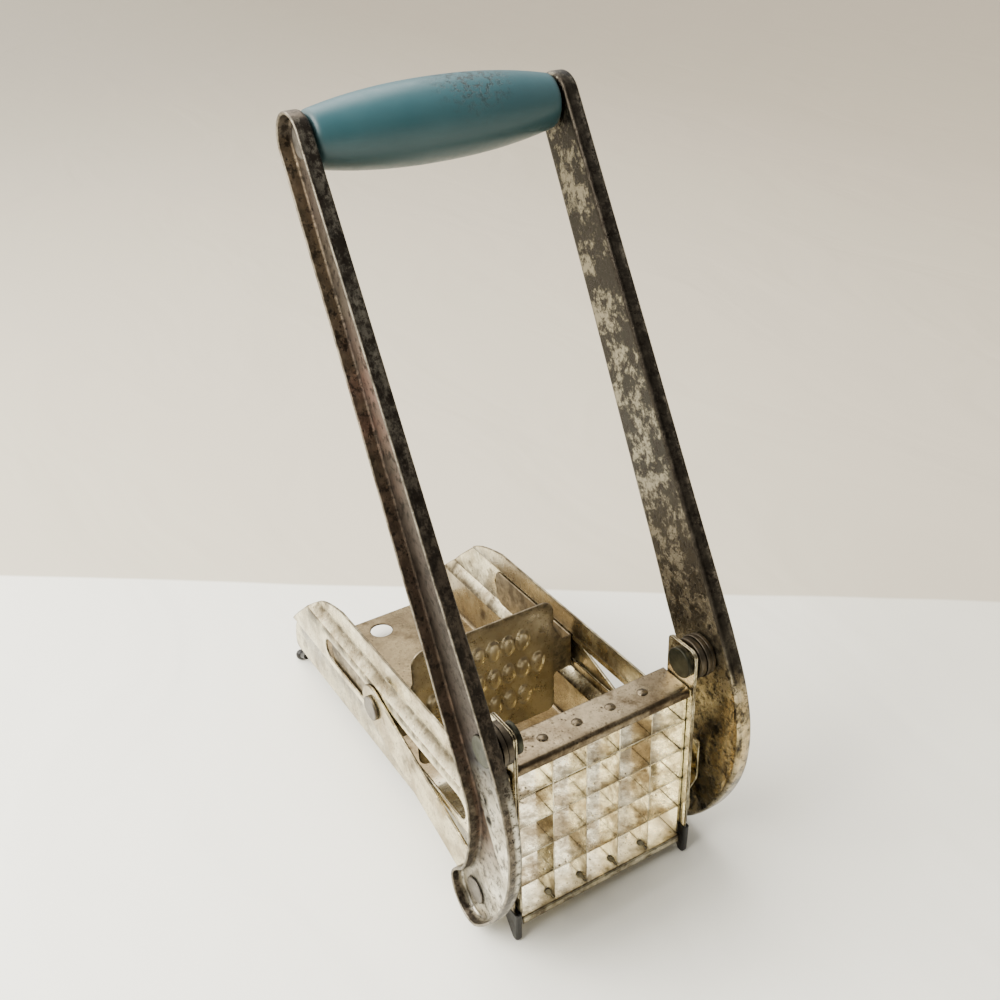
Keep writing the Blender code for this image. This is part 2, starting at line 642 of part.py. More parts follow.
def links():
    """The links lie outside the walls, with their front ends clear of the rivets in the lever's feet."""
    outer = LINK_X + LINK_THICK
    ends = (LOW_RIVET_Y, LOW_RIVET_Z), (LINK_RIVET_Y, CHANNEL_Z)
    holes = [circle(end, RIVET_RADIUS + GAP, 16) for end in ends]
    bar = plate("link_right", [stadium(*ends, LINK_HALF_WIDTH), *holes], LINK_X, outer)
    place(mirrored(bar, "link_left"), tin, link_left)
    place(bar, tin, link_right)
    pin_ends = EAR_X - GAP, outer + GAP
    rivet = headed_pin("link_rivet_rear_right", RIVET_HEAD, RIVET_RADIUS, REAR_RIVET_HEADS, pin_ends,
                       LINK_RIVET_Y, CHANNEL_Z)
    place(mirrored(rivet, "link_rivet_rear_left"), rivet_steel, pusher)
    place(rivet, rivet_steel, pusher)


# ---------------------------------------------------------------- the whole chipper
clear_scene()
parts = new_collection("potato_chipper")
cutters = new_collection("cutters", hidden=True)

tin = metal("tinplate", (0.72, 0.70, 0.63), 0.32)
blade_tin = metal("blade_tinplate", (0.80, 0.77, 0.68), 0.22)
dark_tin = metal("tarnished_tinplate", (0.27, 0.22, 0.15), 0.45)
dark_steel = metal("tarnished_plated_steel", (0.25, 0.22, 0.20), 0.40)
rivet_steel = metal("rivet_steel", (0.38, 0.37, 0.33), 0.42)
black = metal("black_enamel", (0.03, 0.03, 0.03), 0.35, 0.0)
blue_paint = metal("blue_paint", (0.16, 0.38, 0.47), 0.35, 0.0)

front = empty("front_face", (0.0, 0.0, 0.0))
lever = empty("lever_axis", (0.0, PIVOT_Y, PIVOT_Z))
pusher = empty("pusher_guide", (0.0, LINK_RIVET_Y, CHANNEL_Z))
link_left = empty("link_axis_left", (-LINK_X, LINK_RIVET_Y, CHANNEL_Z))
link_right = empty("link_axis_right", (LINK_X, LINK_RIVET_Y, CHANNEL_Z))

body_shell()
front_post()
top_plate()
grid_strips()
blades()
front_foot()
rear_feet()
arm()
grip()
lever_pins()
lever_pivots()
pusher_plate()
links()

for axis in (lever, pusher, link_left, link_right):
    axis.parent = front
front.location.y = FRONT_Y
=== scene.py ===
"""Looks of the lever-operated potato chipper: pressed sheet metal, worn tinplate, a painted grip, and
the floor, lights and camera.

Shapes are given in millimetres, with depths from the front face of the blade grid, as the lever's pivot
places it. Left and right are the object's own sides in X.
"""

import json
import math

import bmesh
import bpy
import numpy as np
from mathutils import Matrix, Vector
from mathutils.geometry import delaunay_2d_cdt, interpolate_bezier

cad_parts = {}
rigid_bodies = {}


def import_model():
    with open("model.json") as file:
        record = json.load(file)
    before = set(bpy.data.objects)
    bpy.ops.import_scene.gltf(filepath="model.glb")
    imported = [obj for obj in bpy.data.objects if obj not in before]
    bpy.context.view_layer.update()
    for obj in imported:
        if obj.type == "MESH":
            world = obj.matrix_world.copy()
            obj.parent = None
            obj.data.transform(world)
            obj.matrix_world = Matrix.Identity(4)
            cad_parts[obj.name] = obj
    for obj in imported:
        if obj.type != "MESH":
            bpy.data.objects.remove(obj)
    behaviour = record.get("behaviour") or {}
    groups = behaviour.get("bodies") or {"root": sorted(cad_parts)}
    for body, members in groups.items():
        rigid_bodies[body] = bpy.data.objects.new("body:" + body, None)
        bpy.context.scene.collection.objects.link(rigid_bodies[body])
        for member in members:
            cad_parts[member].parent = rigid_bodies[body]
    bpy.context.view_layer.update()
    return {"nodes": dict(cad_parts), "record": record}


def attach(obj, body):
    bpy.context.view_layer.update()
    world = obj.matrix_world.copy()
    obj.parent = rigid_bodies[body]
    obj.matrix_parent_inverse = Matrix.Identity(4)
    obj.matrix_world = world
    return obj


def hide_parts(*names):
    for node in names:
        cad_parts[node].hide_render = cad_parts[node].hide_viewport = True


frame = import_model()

JOINTS = {joint["name"]: joint for joint in frame["record"]["behaviour"]["joints"]}
MM = 0.001
PIVOT = (3.6, 81.8)
FRONT = JOINTS["lever_pivot"]["pos_m"][1] / MM - PIVOT[0]

CELL = 12.7
FLOOR_Z = 8.2
SHEET = 0.8
WALL_X = 35.15
WALL_FRONT_TOP = 71.5
SHELL_LENGTH = 175.0
CHANNEL_Z = 39.7
BLADE_X = [(i - 2.5) * CELL for i in range(1, 5)]
LEAN = math.radians(28.1)
LEVER_LENGTH = 179.0
ARM_TOP_RADIUS = 8.4
GRIP_END, GRIP_MIDDLE = 7.9, 12.0
WEB_X = 40.75
FLANGE_X = 45.9
GRIP_CENTRE = (PIVOT[0] + LEVER_LENGTH * math.sin(LEAN), PIVOT[1] + LEVER_LENGTH * math.cos(LEAN))
LOW_RIVET = (12.7, 15.7)
REAR_RIVET = (85.7, 39.7)
LINK_X = 39.45
LINK_HALF_WIDTH = 8.7
LINK_SHEET = ARM_SHEET = 1.0
PIVOT_HOLE, RIVET_HOLE, AXLE_HOLE = 3.3, 2.8, 2.3
RIVET_HEAD, RIVET_SHANK, RIVET_RISE = 4.7, 2.5, 0.5
SLOT_ENDS, SLOT_EDGES = (22.0, 129.5), (35.1, 44.3)
DRAIN, DRAIN_RADIUS = (0.0, 165.0), 4.8
POST_INNER, POST_OUTER = (33.05, 33.70), (33.76, 34.45)
COVER_HALF_WIDTH, COVER_SHEET = 32.7, 0.8
PUSHER_FACE, PUSHER_EAR = (73.0, 74.0), (36.9, 37.9)
DIMPLE_ROWS, DIMPLE_HALF, DIMPLE_RISE, DIMPLE_BULGE = (28.5, 41.2, 53.9), (2.7, 4.5), 1.25, 0.45
WASHERS, WASHER_START, WASHER_GAP = ((6.8, 2.1), (7.2, 1.7), (7.0, 1.3)), 34.75, 0.18


# ---------------------------------------------------------------- outlines
def arc(centre, radius, start, end, steps):
    turns = np.radians(np.linspace(start, end, steps + 1))
    return np.c_[centre[0] + radius * np.cos(turns), centre[1] + radius * np.sin(turns)]


def circle(centre, radius, steps=32):
    return arc(centre, radius, 0, 360, steps)[:-1]


def stadium(start, end, radius, steps=14):
    along = math.degrees(math.atan2(end[1] - start[1], end[0] - start[0]))
    first = arc(end, radius, along - 90, along + 90, steps)
    return np.r_[first, arc(start, radius, along + 90, along + 270, steps)]


def smooth(points, before, after, steps):
    """A smooth line through the points, which starts and ends in the directions of before and after."""
    knots = [Vector((*p, 0.0)) for p in (before, *points, after)]
    line = []
    for i in range(1, len(knots) - 2):
        first = knots[i] + (knots[i + 1] - knots[i - 1]) / 6
        second = knots[i + 1] - (knots[i + 2] - knots[i]) / 6
        line += interpolate_bezier(knots[i], first, second, knots[i + 1], steps + 1)[:-1]
    return np.array([(p.x, p.y) for p in line] + [tuple(points[-1])])


def mirrored(outline):
    """The outline on the other side of the middle, still running the same way round."""
    return (np.array(outline) * (-1, 1))[::-1]


def quarter_turn(steps):
    return np.radians(np.linspace(0, 90, steps + 1))


def eased(radius, top, corner, steps):
    """The rounded outer edge of a turned head, from its top to its side."""
    return [(radius - corner + corner * math.sin(a), top - corner + corner * math.cos(a))
            for a in quarter_turn(steps)]


def divided(loop, step):
    """A closed outline with no edge longer than step, and none of no length."""
    loop = np.asarray(loop, float)
    loop = loop[np.linalg.norm(np.roll(loop, -1, 0) - loop, axis=1) > 1e-4]
    result = []
    for a, b in zip(loop, np.roll(loop, -1, 0)):
        count = max(1, math.ceil(np.linalg.norm(b - a) / step))
        result += [a + (b - a) * i / count for i in range(count)]
    return np.array(result)


def area(loop):
    after = np.roll(loop, -1, 0)
    return (loop[:, 0] * after[:, 1] - after[:, 0] * loop[:, 1]).sum() / 2


def inset(loop, distance):
    """The outline moved to its own left, which is into the sheet."""
    ahead = np.roll(loop, -1, 0) - loop
    ahead /= np.linalg.norm(ahead, axis=1)[:, None]
    left = np.c_[-ahead[:, 1], ahead[:, 0]]
    both = left + np.roll(left, 1, 0)
    both /= np.linalg.norm(both, axis=1)[:, None]
    return loop + both * (distance / np.maximum((both * left).sum(1), 0.55))[:, None]


def inside(points, loops):
    """Which points lie in the first loop and outside the others."""
    crossings = np.zeros(len(points), int)
    for loop in loops:
        after = np.roll(loop, -1, 0)
        for (ax, ay), (bx, by) in zip(loop, after):
            if ay == by:
                continue
            spans = (points[:, 1] >= min(ay, by)) & (points[:, 1] < max(ay, by))
            at = ax + (points[:, 1] - ay) * (bx - ax) / (by - ay)
            crossings += spans & (points[:, 0] < at)
    return crossings % 2 == 1


def far_from(points, loops, distance):
    clear = np.ones(len(points), bool)
    for loop in loops:
        for a, b in zip(loop, np.roll(loop, -1, 0)):
            along = np.clip(((points - a) @ (b - a)) / max((b - a) @ (b - a), 1e-12), 0, 1)
            near = a + along[:, None] * (b - a)
            clear &= ((points - near) ** 2).sum(1) > distance**2
    return clear


def fill(loops, grid, clear):
    """Triangles between the loops, with the grid's points inside them."""
    grid = grid[inside(grid, loops)]
    grid = grid[far_from(grid, loops, clear)]
    points = np.concatenate([*loops, grid])
    edges, start = [], 0
    for loop in loops:
        edges += [(start + i, start + (i + 1) % len(loop)) for i in range(len(loop))]
        start += len(loop)
    made, _, faces, *_ = delaunay_2d_cdt([Vector(p) for p in points], edges, [], 0, 1e-6)
    made = np.array([tuple(p) for p in made])
    middles = np.array([made[list(face)].mean(0) for face in faces])
    return made, [tuple(face) for face, keep in zip(faces, inside(middles, loops)) if keep]


def lattice(us, vs):
    return np.array(np.meshgrid(us, vs)).reshape(2, -1).T


def rounded(low, high, radius=0.3, steps=3):
    """The edge of a sheet between two offsets, as (inset, offset) from its back to its front."""
    radius = min(radius, (high - low) / 2)
    back = [(radius * (1 - math.cos(a)), low + radius * (1 - math.sin(a)))
            for a in np.linspace(math.pi / 2, 0, steps + 1)]
    front = [(i, high + low - offset) for i, offset in reversed(back)]
    return [(radius + 0.3, low), *back, *front, (radius + 0.3, high)]


def pressed(loops, section, place, grid, height=None, clear=0.5):
    """Points and faces of a sheet whose edge runs through section, from its back to its front."""
    loops = [loop if (area(loop) > 0) == (k == 0) else loop[::-1] for k, loop in enumerate(loops)]
    points, faces, count = [], [], 0

    def add(flat, offset):
        nonlocal count
        rise = height(flat) if height else 0.0
        points.append(place(flat, np.full(len(flat), float(offset)) + rise))
        count += len(flat)
        return count - len(flat)

    for loop in loops:
        n = len(loop)
        rings = [add(inset(loop, depth), offset) for depth, offset in section]
        for a, b in zip(rings, rings[1:]):
            faces += [(a + i, a + (i + 1) % n, b + (i + 1) % n, b + i) for i in range(n)]
    for depth, offset in (section[0], section[-1]):
        flat, triangles = fill([inset(loop, depth) for loop in loops], grid, clear)
        start = add(flat, offset)
        faces += [tuple(start + i for i in face) for face in triangles]
    return np.concatenate(points), faces


def in_yz(flat, offset):
    return np.c_[offset, flat]


def in_xz(flat, offset):
    return np.c_[flat[:, 0], offset, flat[:, 1]]


def lathe(profile, centre, axis="x", steps=48):
    """A turned shape round the x or z axis, from a profile of (radius, distance along the axis)."""
    points, faces = [], []
    turns = np.linspace(0, 2 * math.pi, steps, endpoint=False)
    for radius, along in profile:
        ring = np.c_[np.full(steps, along), radius * np.cos(turns), radius * np.sin(turns)]
        points.append(ring)
    for k in range(len(profile) - 1):
        a, b = k * steps, (k + 1) * steps
        faces += [(a + i, a + (i + 1) % steps, b + (i + 1) % steps, b + i) for i in range(steps)]
    points = np.concatenate(points)
    if axis == "z":
        points = points[:, [1, 2, 0]]
    return points + np.array(centre), faces


def joined(*shapes):
    points, faces, start = [], [], 0
    for some_points, some_faces in shapes:
        points.append(some_points)
        faces += [tuple(start + i for i in face) for face in some_faces]
        start += len(some_points)
    return np.concatenate(points), faces


def flipped(shape):
    """The same shape on the other side of the trough."""
    points, faces = shape
    return points * (-1, 1, 1), [face[::-1] for face in faces]


def mark_edges(made):
    """Stores how sharply the surface bends at each point, for the dirt and wear along edges."""
    layer = made.verts.layers.float.new("edge")
    for point in made.verts:
        bend = max(edge.calc_face_angle(0.0) for edge in point.link_edges)
        point[layer] = min(1.0, bend / 0.35)


def piece(name, shape, material, body, *nodes):
    """A smooth mesh of this shape, which rides on the body and stands for the nodes."""
    points, faces = shape
    mesh = bpy.data.meshes.new(name)
    mesh.from_pydata(((points + (0, FRONT, 0)) * MM).tolist(), [], faces)
    made = bmesh.new()
    made.from_mesh(mesh)
    bmesh.ops.remove_doubles(made, verts=made.verts, dist=2e-6)
    bmesh.ops.recalc_face_normals(made, faces=made.faces)
    for face in made.faces:
        face.smooth = True
    mark_edges(made)
    made.to_mesh(mesh)
    made.free()
    obj = bpy.data.objects.new(name, mesh)
    bpy.context.scene.collection.objects.link(obj)
    obj.data.materials.append(material)
    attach(obj, body)
    if nodes:
        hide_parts(*nodes)
    return obj


def both_sides(name, shape, material, body, node):
    """The piece on the right, and its mirror image on the left."""
    for side, form in (("left", flipped(shape)), ("right", shape)):
        where = body.format(side=side)
        piece(f"{name}_{side}", form, material, where, node.format(side=side))


# ---------------------------------------------------------------- materials
class Surface:
    """A procedural material in the object's own coordinates, which are metres in the frame."""

    def __init__(self, name, **constants):
        self.material = bpy.data.materials.new(name)
        self.material.use_nodes = True
        self.tree = self.material.node_tree
        self.shader = self.tree.nodes["Principled BSDF"]
        for key, value in constants.items():
            self.shader.inputs[key.replace("_", " ").title().replace("Ior", "IOR")].default_value = value
        self.place = self.tree.nodes.new("ShaderNodeTexCoord").outputs["Object"]
        self.x, self.y, self.z = self.node("ShaderNodeSeparateXYZ", {0: self.place}).outputs
        self.edge = self.node("ShaderNodeAttribute", {}, attribute_name="edge").outputs["Fac"]

    def node(self, kind, inputs, **settings):
        node = self.tree.nodes.new(kind)
        for key, value in settings.items():
            setattr(node, key, value)
        for key, value in inputs.items():
            self.give(node.inputs[key], value)
        return node

    def give(self, socket, value):
        if isinstance(value, bpy.types.NodeSocket):
            self.tree.links.new(value, socket)
        elif isinstance(value, tuple) and len(value) == 3 and socket.type == "RGBA":
            socket.default_value = (*value, 1.0)
        else:
            socket.default_value = value

    def stretched(self, stretch, shift):
        inputs = {"Vector": self.place, "Scale": stretch, "Location": (shift, 0.37 * shift, 0.71 * shift)}
        return self.node("ShaderNodeMapping", inputs).outputs[0]

    def noise(self, size, detail=5.0, rough=0.6, stretch=(1, 1, 1), shift=0.0, warp=0.0):
        """Noise with features of this size in millimetres."""
        inputs = {"Vector": self.stretched(stretch, shift), "Scale": 1000.0 / size, "Detail": detail,
                  "Roughness": rough, "Distortion": warp}
        return self.node("ShaderNodeTexNoise", inputs).outputs["Fac"]

    def cells(self, size, shift):
        inputs = {"Vector": self.stretched((1, 1, 1), shift), "Scale": 1000.0 / size}
        return self.node("ShaderNodeTexVoronoi", inputs).outputs["Distance"]

    def span(self, value, low, high, out_low=0.0, out_high=1.0):
        inputs = {0: value, 1: low, 2: high, 3: out_low, 4: out_high}
        return self.node("ShaderNodeMapRange", inputs).outputs[0]

    def aside(self):
        """The distance from the middle plane."""
        return self.math("ABSOLUTE", self.x, 0.0)

    def math(self, operation, a, b):
        return self.node("ShaderNodeMath", {0: a, 1: b}, operation=operation).outputs[0]

    def both(self, a, b):
        return self.math("MULTIPLY", a, b)

    def either(self, a, b):
        return self.math("MAXIMUM", a, b)

    def mix(self, amount, a, b):
        node = self.node("ShaderNodeMix", {0: amount}, data_type="RGBA")
        self.give(node.inputs[6], a)
        self.give(node.inputs[7], b)
        return node.outputs[2]

    def near(self, spot, radius, soft):
        """One within radius of a point or along a line, fading out. None leaves that axis free."""
        total = None
        for axis, middle in zip((self.x, self.y, self.z), spot):
            if middle is None:
                continue
            offset = self.math("SUBTRACT", axis, middle * MM)
            square = self.both(offset, offset)
            total = square if total is None else self.math("ADD", total, square)
        away = self.math("SQRT", total, 0.0)
        return self.span(away, radius * MM, radius * (1 - soft) * MM)

    def finish(self, colour, roughness, *bumps):
        self.give(self.shader.inputs["Base Color"], colour)
        self.give(self.shader.inputs["Roughness"], roughness)
        normal = None
        for height, depth in bumps:
            inputs = {"Height": height, "Distance": depth * MM, "Strength": 1.0}
            if normal:
                inputs["Normal"] = normal
            normal = self.node("ShaderNodeBump", inputs).outputs[0]
        if normal:
            self.give(self.shader.inputs["Normal"], normal)
        return self.material


# Tones of the old metal and paint, and the painted shade of the grip's underside.
CREAM, DULL, BROWN = (0.92, 0.83, 0.57), (0.47, 0.395, 0.245), (0.070, 0.048, 0.026)
DIRT, FLECK, PIT = (0.040, 0.030, 0.019), (0.030, 0.021, 0.013), (0.035, 0.026, 0.018)
ARM_SPECK, ARM_PIT, ARM_DIRT = (0.022, 0.017, 0.013), (0.016, 0.012, 0.009), (0.016, 0.013, 0.010)
BARE_RIM, PIN_GRIME = (0.34, 0.30, 0.23), (0.022, 0.018, 0.014)
BLUE, FADED_BLUE, PAINTED_SHADE_BLUE = (0.025, 0.080, 0.096), (0.033, 0.095, 0.111), (0.016, 0.032, 0.032)
GRIMY_BLUE, CHIP, GRIP_ENDS = (0.030, 0.068, 0.072), (0.016, 0.022, 0.021), (0.015, 0.028, 0.028)
BLACK, BARE_FOOT = (0.010, 0.009, 0.008), (0.085, 0.072, 0.056)


def depth(y):
    """Metres in the frame, for a depth from the front face of the blade grid."""
    return (y + FRONT) * MM


def at(x, y, z):
    """A point given like the outlines, in the frame's own millimetres."""
    return (x, None if y is None else y + FRONT, z)


def tinplate(name, clean, dull, stain, amount, speck, smoothness, spots=(), tints=(), edge_dirt=1.0):
    """Old tinplate: a bright coat that dulls in patches, brown stains, and dark pits.

    A greater amount spreads the stains, and a greater speck the flecks and pits. Spots are places that
    stain more, and tints are places of another colour. Each begins with the function that marks it.
    """
    s = Surface(name, metallic=1.0)
    colour = s.mix(s.span(s.noise(13, 6, 0.64, shift=1.3), 0.42, 0.58), clean, dull)
    for mask, tint, dull_tint in tints:
        shade = s.mix(s.span(s.noise(12, 8, 0.7, shift=5.2), 0.40, 0.62), tint, dull_tint)
        colour = s.mix(mask(s), colour, shade)
    patch = s.span(s.noise(13, 9, 0.72, shift=4.1), 0.60 - amount, 0.74 - amount)
    for mask, weight in spots:
        local = s.both(mask(s), s.span(s.noise(5, 8, 0.7, shift=7.7), 0.30, 0.62))
        patch = s.either(patch, s.both(local, weight))
    colour = s.mix(patch, colour, stain)
    fine = s.span(s.noise(1.6, 6, 0.75, shift=2.9), 0.60 - 0.06 * speck, 0.74)
    colour = s.mix(s.both(fine, 0.7), colour, stain)
    dirt = s.both(s.both(s.edge, edge_dirt), s.span(s.noise(6, 7, 0.7, shift=1.9), 0.36, 0.56, 0.35, 0.95))
    colour = s.mix(dirt, colour, DIRT)
    flecks = s.both(s.span(s.cells(1.1, shift=8.3), 0.20, 0.12),
                    s.span(s.noise(12, 5, 0.7, shift=6.4), 0.46 - 0.03 * speck, 0.54))
    colour = s.mix(s.both(flecks, 0.9), colour, FLECK)
    pits = s.both(s.span(s.cells(2.1, shift=3.3), 0.24, 0.12),
                  s.span(s.noise(9, 5, 0.7, shift=9.2), 0.62 - 0.16 * speck, 0.68))
    colour = s.mix(pits, colour, PIT)
    scratch = s.noise(2.0, 3, 0.6, stretch=(1.0, 0.09, 1.0), shift=5.5)
    rough = s.span(s.noise(7, 7, 0.7, shift=6.1), 0.35, 0.75, smoothness, smoothness + 0.22)
    rough = s.math("ADD", rough, s.both(patch, 0.22))
    return s.finish(colour, rough, (s.noise(24, 2, 0.4, shift=8.8), 0.35),
                    (s.noise(4.5, 3, 0.5, shift=8.1), 0.05), (scratch, 0.012), (pits, -0.10))


def arm_parts(s):
    """A point's metres along its arm from the pivot, and how far it lies on the front and rear flanges."""
    y, z = s.math("SUBTRACT", s.y, (PIVOT[0] + FRONT) * MM), s.math("SUBTRACT", s.z, PIVOT[1] * MM)
    along = s.math("ADD", s.both(y, math.sin(LEAN)), s.both(z, math.cos(LEAN)))
    across = s.math("SUBTRACT", s.both(z, math.sin(LEAN)), s.both(y, math.cos(LEAN)))
    front = s.span(s.math("ADD", across, s.both(along, 0.0203)), 0.0106, 0.0112)
    rear = s.span(s.math("SUBTRACT", s.both(along, 0.032), across), 0.0120, 0.0127)
    return along, front, s.both(rear, s.span(along, -0.052, -0.030))


def left_plating():
    """Brown-mauve tarnish on the rear flange, dark web, near black front flange, and a clean foot."""
    s = Surface("left_arm_plating", metallic=1.0)
    along, front, rear = arm_parts(s)
    cloud = s.span(s.noise(11, 9, 0.70, stretch=(1.0, 0.5, 0.5), shift=2.2), 0.38, 0.62)
    high = s.span(along, 0.055, 0.115)
    web = s.mix(cloud, s.mix(high, (0.050, 0.040, 0.031), (0.130, 0.108, 0.080)),
                s.mix(high, (0.066, 0.050, 0.041), (0.140, 0.112, 0.090)))
    back = s.mix(cloud, s.mix(high, (0.110, 0.078, 0.054), (0.210, 0.160, 0.100)),
                 s.mix(high, (0.150, 0.100, 0.073), (0.200, 0.145, 0.092)))
    colour = s.mix(rear, web, back)
    rosy = s.both(s.near(at(None, 62, 168), 30, 0.9), s.span(s.noise(9, 6, 0.7, shift=4.4), 0.36, 0.60))
    colour = s.mix(s.both(rosy, 0.5), colour, (0.33, 0.180, 0.140))
    blue = s.both(s.near(at(None, 2, 76), 13, 0.8), s.span(s.noise(7, 6, 0.7, shift=5.1), 0.34, 0.60))
    colour = s.mix(s.both(blue, 0.55), colour, (0.085, 0.115, 0.140))
    olive = s.near(at(None, -1.5, 84), 5.0, 0.5)
    colour = s.mix(s.both(olive, 0.6), colour, (0.100, 0.110, 0.060))
    spots = s.span(s.noise(4.2, 10, 0.80, stretch=(1.0, 0.6, 0.6), shift=6.6), 0.46, 0.55)
    flange = s.mix(spots, (0.030, 0.025, 0.020), s.mix(high, (0.105, 0.084, 0.063), (0.190, 0.172, 0.138)))
    colour = s.mix(front, colour, flange)
    sole = s.span(s.x, -0.0428, -0.0438)
    lip = s.mix(s.span(s.noise(3.0, 9, 0.78, shift=7.3), 0.44, 0.58),
                (0.060, 0.048, 0.036), (0.200, 0.165, 0.122))
    lower = s.both(s.span(along, -0.004, -0.022),
                   s.span(s.noise(12, 6, 0.65, shift=1.7), 0.28, 0.50, 0.6, 1.0))
    clean = s.both(lower, s.math("SUBTRACT", 1.0, rear))
    bright = s.mix(s.span(s.noise(9, 5, 0.6, shift=3.7), 0.35, 0.65), (0.82, 0.78, 0.66), (0.45, 0.40, 0.30))
    colour = s.mix(clean, colour, bright)
    colour = s.mix(s.both(sole, s.span(along, 0.0, -0.018)), colour, lip)
    line = s.both(s.near(at(None, 5.0, 62), 4.0, 0.6), s.span(s.noise(2.4, 6, 0.7, shift=3.9), 0.42, 0.52))
    line = s.either(line, s.near(at(None, 2.0, 55.5), 2.2, 0.5))
    colour = s.mix(line, colour, (0.012, 0.009, 0.006))
    return worn_finish(s, colour, clean, 0.40)


def right_plating():
    """Cream plate mottled with black above, a dark olive foot, and painted gold reflections streaked along
    its bend.
    """
    s = Surface("right_arm_plating", metallic=1.0)
    along, front, rear = arm_parts(s)
    high = s.span(along, 0.020, 0.065)
    front = s.both(front, s.span(along, -0.030, -0.012))
    blotches = s.noise(8.5, 12, 0.80, stretch=(1.0, 0.75, 0.75), shift=5.9)
    spots = s.span(blotches, 0.450, 0.500)
    upper = s.mix(spots, (0.215, 0.192, 0.135), (0.024, 0.021, 0.016))
    middle = s.mix(spots, (0.220, 0.185, 0.130), (0.060, 0.049, 0.035))
    web = s.mix(high, middle, upper)
    smudge = s.span(s.noise(11, 8, 0.75, shift=8.4), 0.50, 0.60)
    low = s.mix(smudge, (0.500, 0.420, 0.270), (0.060, 0.052, 0.036))
    web = s.mix(s.span(along, 0.012, -0.012), web, low)
    # Painted reflection: golden streaks along the foot's bend, where the light would glint.
    streaks = s.span(s.noise(2.4, 9, 0.78, stretch=(1.0, 1.0, 0.14), shift=2.6), 0.46, 0.58)
    bend = s.both(s.span(s.y, depth(-6.0), depth(-10.5)), s.span(s.z, 0.030, 0.045))
    painted_gold_glint = s.both(s.both(streaks, bend), s.span(along, -0.004, -0.020))
    grey = s.span(s.noise(4.0, 10, 0.80, shift=6.6), 0.47, 0.57)
    outer = s.mix(grey, (0.060, 0.052, 0.039), (0.260, 0.230, 0.178))
    inner = s.mix(s.both(grey, 0.35), (0.045, 0.038, 0.029), (0.160, 0.138, 0.104))
    flange = s.mix(s.span(s.x, 0.0438, 0.0448), inner, outer)
    colour = s.mix(front, web, flange)
    colour = s.mix(s.both(painted_gold_glint, 0.85), colour, (0.70, 0.52, 0.25))
    return worn_finish(s, colour, s.span(along, 0.0, -0.02), 0.26)


def worn_finish(s, colour, clean, smoothness):
    """Specks, pits, dirt along the edges, and a rubbed rim, for either arm."""
    specks = s.both(s.span(s.noise(2.6, 8, 0.75, shift=3.1), 0.51, 0.58), 0.85)
    colour = s.mix(specks, colour, ARM_SPECK)
    pits = s.both(s.span(s.cells(1.5, shift=6.3), 0.26, 0.14),
                  s.span(s.noise(8, 4, 0.7, shift=1.2), 0.50, 0.60))
    colour = s.mix(pits, colour, ARM_PIT)
    rim = s.span(s.aside(), (FLANGE_X - 0.55) * MM, (FLANGE_X - 0.15) * MM)
    dirt = s.both(s.edge, s.span(s.noise(4, 6, 0.7, shift=1.4), 0.36, 0.56, 0.15, 0.75))
    colour = s.mix(dirt, colour, ARM_DIRT)
    worn_rim = s.span(s.noise(5, 6, 0.7, shift=4.9), 0.40, 0.60, 0.15, 0.75)
    colour = s.mix(s.both(rim, worn_rim), colour, BARE_RIM)
    rough = s.span(s.noise(6, 8, 0.7, shift=9.4), 0.30, 0.72, smoothness, smoothness + 0.20)
    rough = s.math("SUBTRACT", rough, s.both(clean, 0.12))
    return s.finish(colour, rough, (s.noise(18, 2, 0.4, shift=8.3), 0.25),
                    (s.noise(3.0, 5, 0.6, shift=2.7), 0.06), (specks, -0.03), (pits, -0.08))


def steel(name, light, dark, smoothness=0.36):
    """Dull steel of pins and washers, grimy in spots and along the edges."""
    s = Surface(name, metallic=1.0)
    colour = s.mix(s.span(s.noise(5, 8, 0.7, shift=3.8), 0.36, 0.66), light, dark)
    grime = s.span(s.noise(1.8, 7, 0.75, shift=0.6), 0.55, 0.70)
    colour = s.mix(s.both(grime, 0.7), colour, PIN_GRIME)
    colour = s.mix(s.both(s.edge, 0.45), colour, PIN_GRIME)
    rough = s.span(s.noise(3, 6, 0.7, shift=2.4), 0.3, 0.7, smoothness, smoothness + 0.2)
    return s.finish(colour, rough, (s.noise(2.2, 5, 0.6, shift=4.7), 0.06))


def paint(name):
    """Light blue satin paint on turned wood: brush drag round the grip, small worn specks and chips."""
    s = Surface(name, metallic=0.0, coat_weight=0.06, coat_roughness=0.3, specular_ior_level=0.3)
    colour = s.mix(s.span(s.noise(26, 5, 0.6, shift=1.1), 0.35, 0.68), BLUE, FADED_BLUE)
    # Painted shade: the lower side of the grip is darkened by height, as if shaded from above.
    under = s.span(s.z, (GRIP_CENTRE[1] + 8) * MM, (GRIP_CENTRE[1] - 7) * MM)
    colour = s.mix(s.both(under, 0.80), colour, PAINTED_SHADE_BLUE)
    dirt = s.span(s.noise(8, 9, 0.72, stretch=(0.55, 1, 1), shift=3.3), 0.58, 0.76)
    colour = s.mix(s.both(dirt, 0.35), colour, GRIMY_BLUE)
    region = s.both(s.near(at(10, 84, 253), 17, 0.7), s.span(s.noise(2.0, 8, 0.78, shift=6.5), 0.52, 0.57))
    chips = s.span(s.noise(3.0, 9, 0.8, shift=2.8), 0.72, 0.76)
    chips = s.either(chips, region)
    colour = s.mix(s.both(chips, 0.85), colour, CHIP)
    ends = s.span(s.aside(), 0.0382, 0.0402)
    colour = s.mix(s.both(ends, 0.7), colour, GRIP_ENDS)
    rough = s.span(s.noise(5, 7, 0.7, shift=7.1), 0.3, 0.7, 0.30, 0.46)
    rings = s.noise(1.2, 3, 0.5, stretch=(1.0, 0.05, 0.05), shift=4.4)
    return s.finish(colour, rough, (rings, 0.02), (s.noise(15, 3, 0.5, shift=5.6), 0.18), (chips, -0.08))


